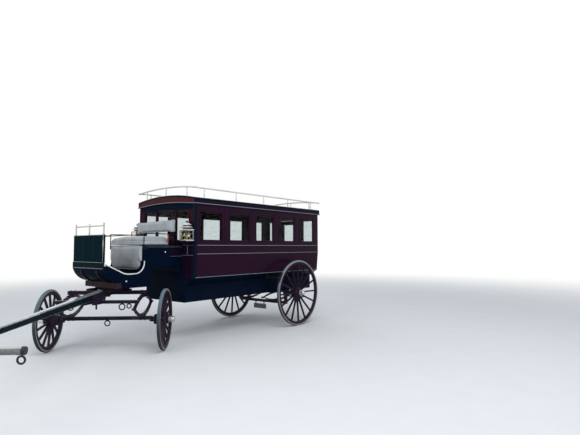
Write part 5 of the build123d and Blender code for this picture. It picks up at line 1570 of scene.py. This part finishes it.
class OMNIBUS_OT_lining(bpy.types.Operator):
    """Fine lining on the boot, the bead on the roof's edge, and the dash board's edge and beads"""
    bl_idname = "omnibus.lining"
    bl_label = "Lining"

    def execute(self, context):
        lines = []
        for side in (-1, 1):
            y = side * (BOOT_HIGH.y + 0.0005)
            for z, front in ((BOOT_LINE_LOW, 2.590), (BOOT_LINE_TOP, 3.046)):
                lines.append([on_coach(2.372, y, z), on_coach(front, y, z)])
        swept("boot_lining", lines, "line_paint", 0.0032)
        swept("roof_bead", [roof_edge_path()], "rail_white", 0.0055, closed=True)
        self.dash()
        return {"FINISHED"}

    def dash(self):
        """Edge of the dash board, the line on the toe board below it, and two upright beads."""
        low, high = DASH_LOW, DASH_HIGH
        edge, end, margin = 0.0055, 0.012, 0.022
        left, right, foot, head = high.y - edge, low.y + edge, low.z + edge, high.z - edge
        corners = ((right, foot), (left, foot), (left, head), (right, head))
        frame = [on_coach(high.x + edge, y, z) for y, z in corners]
        swept("dash_edge", [frame], "rail_steel", 0.0036, closed=True)
        toe = [on_coach(high.x + 0.001, y, low.z - TOE_BOARD - 0.001) for y in (low.y + end, high.y - end)]
        swept("toe_line", [toe], "rail_steel", 0.0028)
        grooves = [[on_coach(high.x + 0.0012, y, z) for z in (low.z + margin, high.z - margin)]
                   for y in (low.y / 3, high.y / 3)]
        swept("dash_beads", grooves, "groove_green", 0.0022)


# Stage

CAMERA_PLACE = (6.7329, 6.0614, 1.4685)
CAMERA_YAW, CAMERA_PITCH, CAMERA_ROLL = math.radians(51.4758), math.radians(3.8331), math.radians(-0.1453)
CAMERA_LENS = 27.50
LIGHTS = (      # name, place on the coach, width and height, power
    ("key", (4.5, 6.5, 7.5), (6.0, 5.0), 420.0),
    ("front", (9.5, 1.0, 4.5), (4.0, 4.0), 150.0),
    ("far", (-4.0, -7.0, 6.0), (6.0, 4.0), 160.0),
)
LIT_MIDDLE = (1.2, 0.0, 1.0)
FLOOR_REACH = 60.0
FLOOR_FADE = (6.0, 19.0)        # where the floor starts to turn white, and where it is white


def camera_turn():
    """The camera's rotation: its right, up and back directions as columns."""
    ahead = Vector((-math.sin(CAMERA_YAW) * math.cos(CAMERA_PITCH),
                    -math.cos(CAMERA_YAW) * math.cos(CAMERA_PITCH), math.sin(CAMERA_PITCH)))
    level = Vector((-math.cos(CAMERA_YAW), math.sin(CAMERA_YAW), 0.0))
    upward = level.cross(ahead)
    right = level * math.cos(CAMERA_ROLL) + upward * math.sin(CAMERA_ROLL)
    up = upward * math.cos(CAMERA_ROLL) - level * math.sin(CAMERA_ROLL)
    return Matrix((right, up, -ahead)).transposed()


def soft_light(name, place, target, size, power):
    """A large area lamp aimed at a point."""
    data = bpy.data.lights.new(name, "AREA")
    data.shape = "RECTANGLE"
    data.size, data.size_y = size
    data.energy = power
    lamp = bpy.data.objects.new(name, data)
    bpy.context.scene.collection.objects.link(lamp)
    lamp.location = place
    lamp.rotation_euler = (target - place).to_track_quat("-Z", "Y").to_euler()


def seen_rays(w):
    """1 for what the camera sees, also by gloss and through glass."""
    path = w.add("ShaderNodeLightPath")
    seen = w.math("MAXIMUM", path.outputs["Is Camera Ray"], path.outputs["Is Glossy Ray"])
    return w.math("MAXIMUM", seen, path.outputs["Is Transmission Ray"])


def studio_world():
    """Even pale light, with a white background for the camera, for gloss and through glass."""
    world = bpy.data.worlds.new("Studio")
    bpy.context.scene.world = world
    world.use_nodes = True
    w = Wiring(world.node_tree)
    world.node_tree.nodes.clear()
    seen = seen_rays(w)
    light = w.add("ShaderNodeBackground", values={"Color": (0.86, 0.93, 1.0, 1.0), "Strength": 0.62})
    white = w.add("ShaderNodeBackground", values={"Color": (1.0, 1.0, 1.0, 1.0), "Strength": 1.0})
    both = w.add("ShaderNodeMixShader", values={0: seen, 1: light.outputs[0], 2: white.outputs[0]})
    w.add("ShaderNodeOutputWorld", values={"Surface": both.outputs[0]})


class OMNIBUS_OT_stage(bpy.types.Operator):
    """Pale floor, soft light and the camera"""
    bl_idname = "omnibus.stage"
    bl_label = "Stage"

    def execute(self, context):
        scene = context.scene
        scene.view_settings.view_transform = "Standard"
        studio_world()
        self.floor(scene)
        middle = on_coach(*LIT_MIDDLE)
        for name, place, size, power in LIGHTS:
            soft_light(name, on_coach(*place), middle, size, power)
        self.camera(scene)
        return {"FINISHED"}

    def floor(self, scene):
        """A wide pale floor that turns white far from the coach, as the camera sees it."""
        w, shader = new_material("floor_pale", Specular_IOR_Level=0.1, Roughness=0.8)
        speck = w.noise(w.place(), 3.0, 4.0)
        w.feed(shader.inputs["Base Color"], w.mix(speck, (0.70, 0.71, 0.72, 1), (0.76, 0.77, 0.78, 1)))
        parts = w.parts(w.place())
        away = w.math("POWER", w.math("SUBTRACT", parts["X"], AXLE_FOOT.x + LIT_MIDDLE[0]), 2.0)
        away = w.math("ADD", away, w.math("POWER", w.math("SUBTRACT", parts["Y"], AXLE_FOOT.y), 2.0))
        fade = w.math("MULTIPLY", w.ramp(w.math("SQRT", away), *FLOOR_FADE), seen_rays(w))
        white = w.add("ShaderNodeEmission", values={"Color": (1.0, 1.0, 1.0, 1.0), "Strength": 1.0})
        both = w.add("ShaderNodeMixShader", values={0: fade, 1: shader.outputs[0], 2: white.outputs[0]})
        w.feed(w.nodes["Material Output"].inputs["Surface"], both.outputs[0])
        mesh = bpy.data.meshes.new("floor")
        corners = [(a * FLOOR_REACH, b * FLOOR_REACH, 0) for a, b in ((-1, -1), (1, -1), (1, 1), (-1, 1))]
        mesh.from_pydata(corners, [], [(0, 1, 2, 3)])
        mesh.materials.append(MATERIALS["floor_pale"])
        floor = bpy.data.objects.new("floor", mesh)
        scene.collection.objects.link(floor)

    def camera(self, scene):
        data = bpy.data.cameras.new("camera")
        data.lens = CAMERA_LENS
        data.sensor_width = 36.0
        data.sensor_fit = "HORIZONTAL"
        data.clip_end = 400.0
        camera = bpy.data.objects.new("camera", data)
        scene.collection.objects.link(camera)
        camera.matrix_world = Matrix.Translation(on_coach(*CAMERA_PLACE)) @ camera_turn().to_4x4()
        scene.camera = camera


# Panel and registration

OPERATORS = (OMNIBUS_OT_finishes, OMNIBUS_OT_windows, OMNIBUS_OT_wheel_irons, OMNIBUS_OT_gear_irons,
             OMNIBUS_OT_driver_seat, OMNIBUS_OT_cabin_benches, OMNIBUS_OT_lamps, OMNIBUS_OT_lining,
             OMNIBUS_OT_stage)


class OMNIBUS_PT_pieces(bpy.types.Panel):
    """Sizes, colours and pieces of the omnibus"""
    bl_idname = "OMNIBUS_PT_pieces"
    bl_label = "Omnibus"
    bl_space_type = "VIEW_3D"
    bl_region_type = "UI"
    bl_category = "Omnibus"

    def draw(self, context):
        layout = self.layout
        for settings in (context.scene.omnibus_sizes, context.scene.omnibus_colours):
            box = layout.box()
            for name in settings.bl_rna.properties.keys():
                if name not in ("rna_type", "name"):
                    box.prop(settings, name)
        for operator in OPERATORS:
            layout.operator(operator.bl_idname)


CLASSES = (OmnibusSizes, OmnibusColours) + OPERATORS + (OMNIBUS_PT_pieces,)


def register():
    for cls in CLASSES:
        bpy.utils.register_class(cls)
    bpy.types.Scene.omnibus_sizes = PointerProperty(type=OmnibusSizes)
    bpy.types.Scene.omnibus_colours = PointerProperty(type=OmnibusColours)


def unregister():
    del bpy.types.Scene.omnibus_colours
    del bpy.types.Scene.omnibus_sizes
    for cls in reversed(CLASSES):
        bpy.utils.unregister_class(cls)


def main():
    register()
    bpy.ops.omnibus.stage()
    bpy.ops.omnibus.finishes()
    bpy.ops.omnibus.windows()
    bpy.ops.omnibus.wheel_irons()
    bpy.ops.omnibus.gear_irons()
    bpy.ops.omnibus.driver_seat()
    bpy.ops.omnibus.cabin_benches()
    bpy.ops.omnibus.lamps()
    bpy.ops.omnibus.lining()


if __name__ == "__main__":
    main()
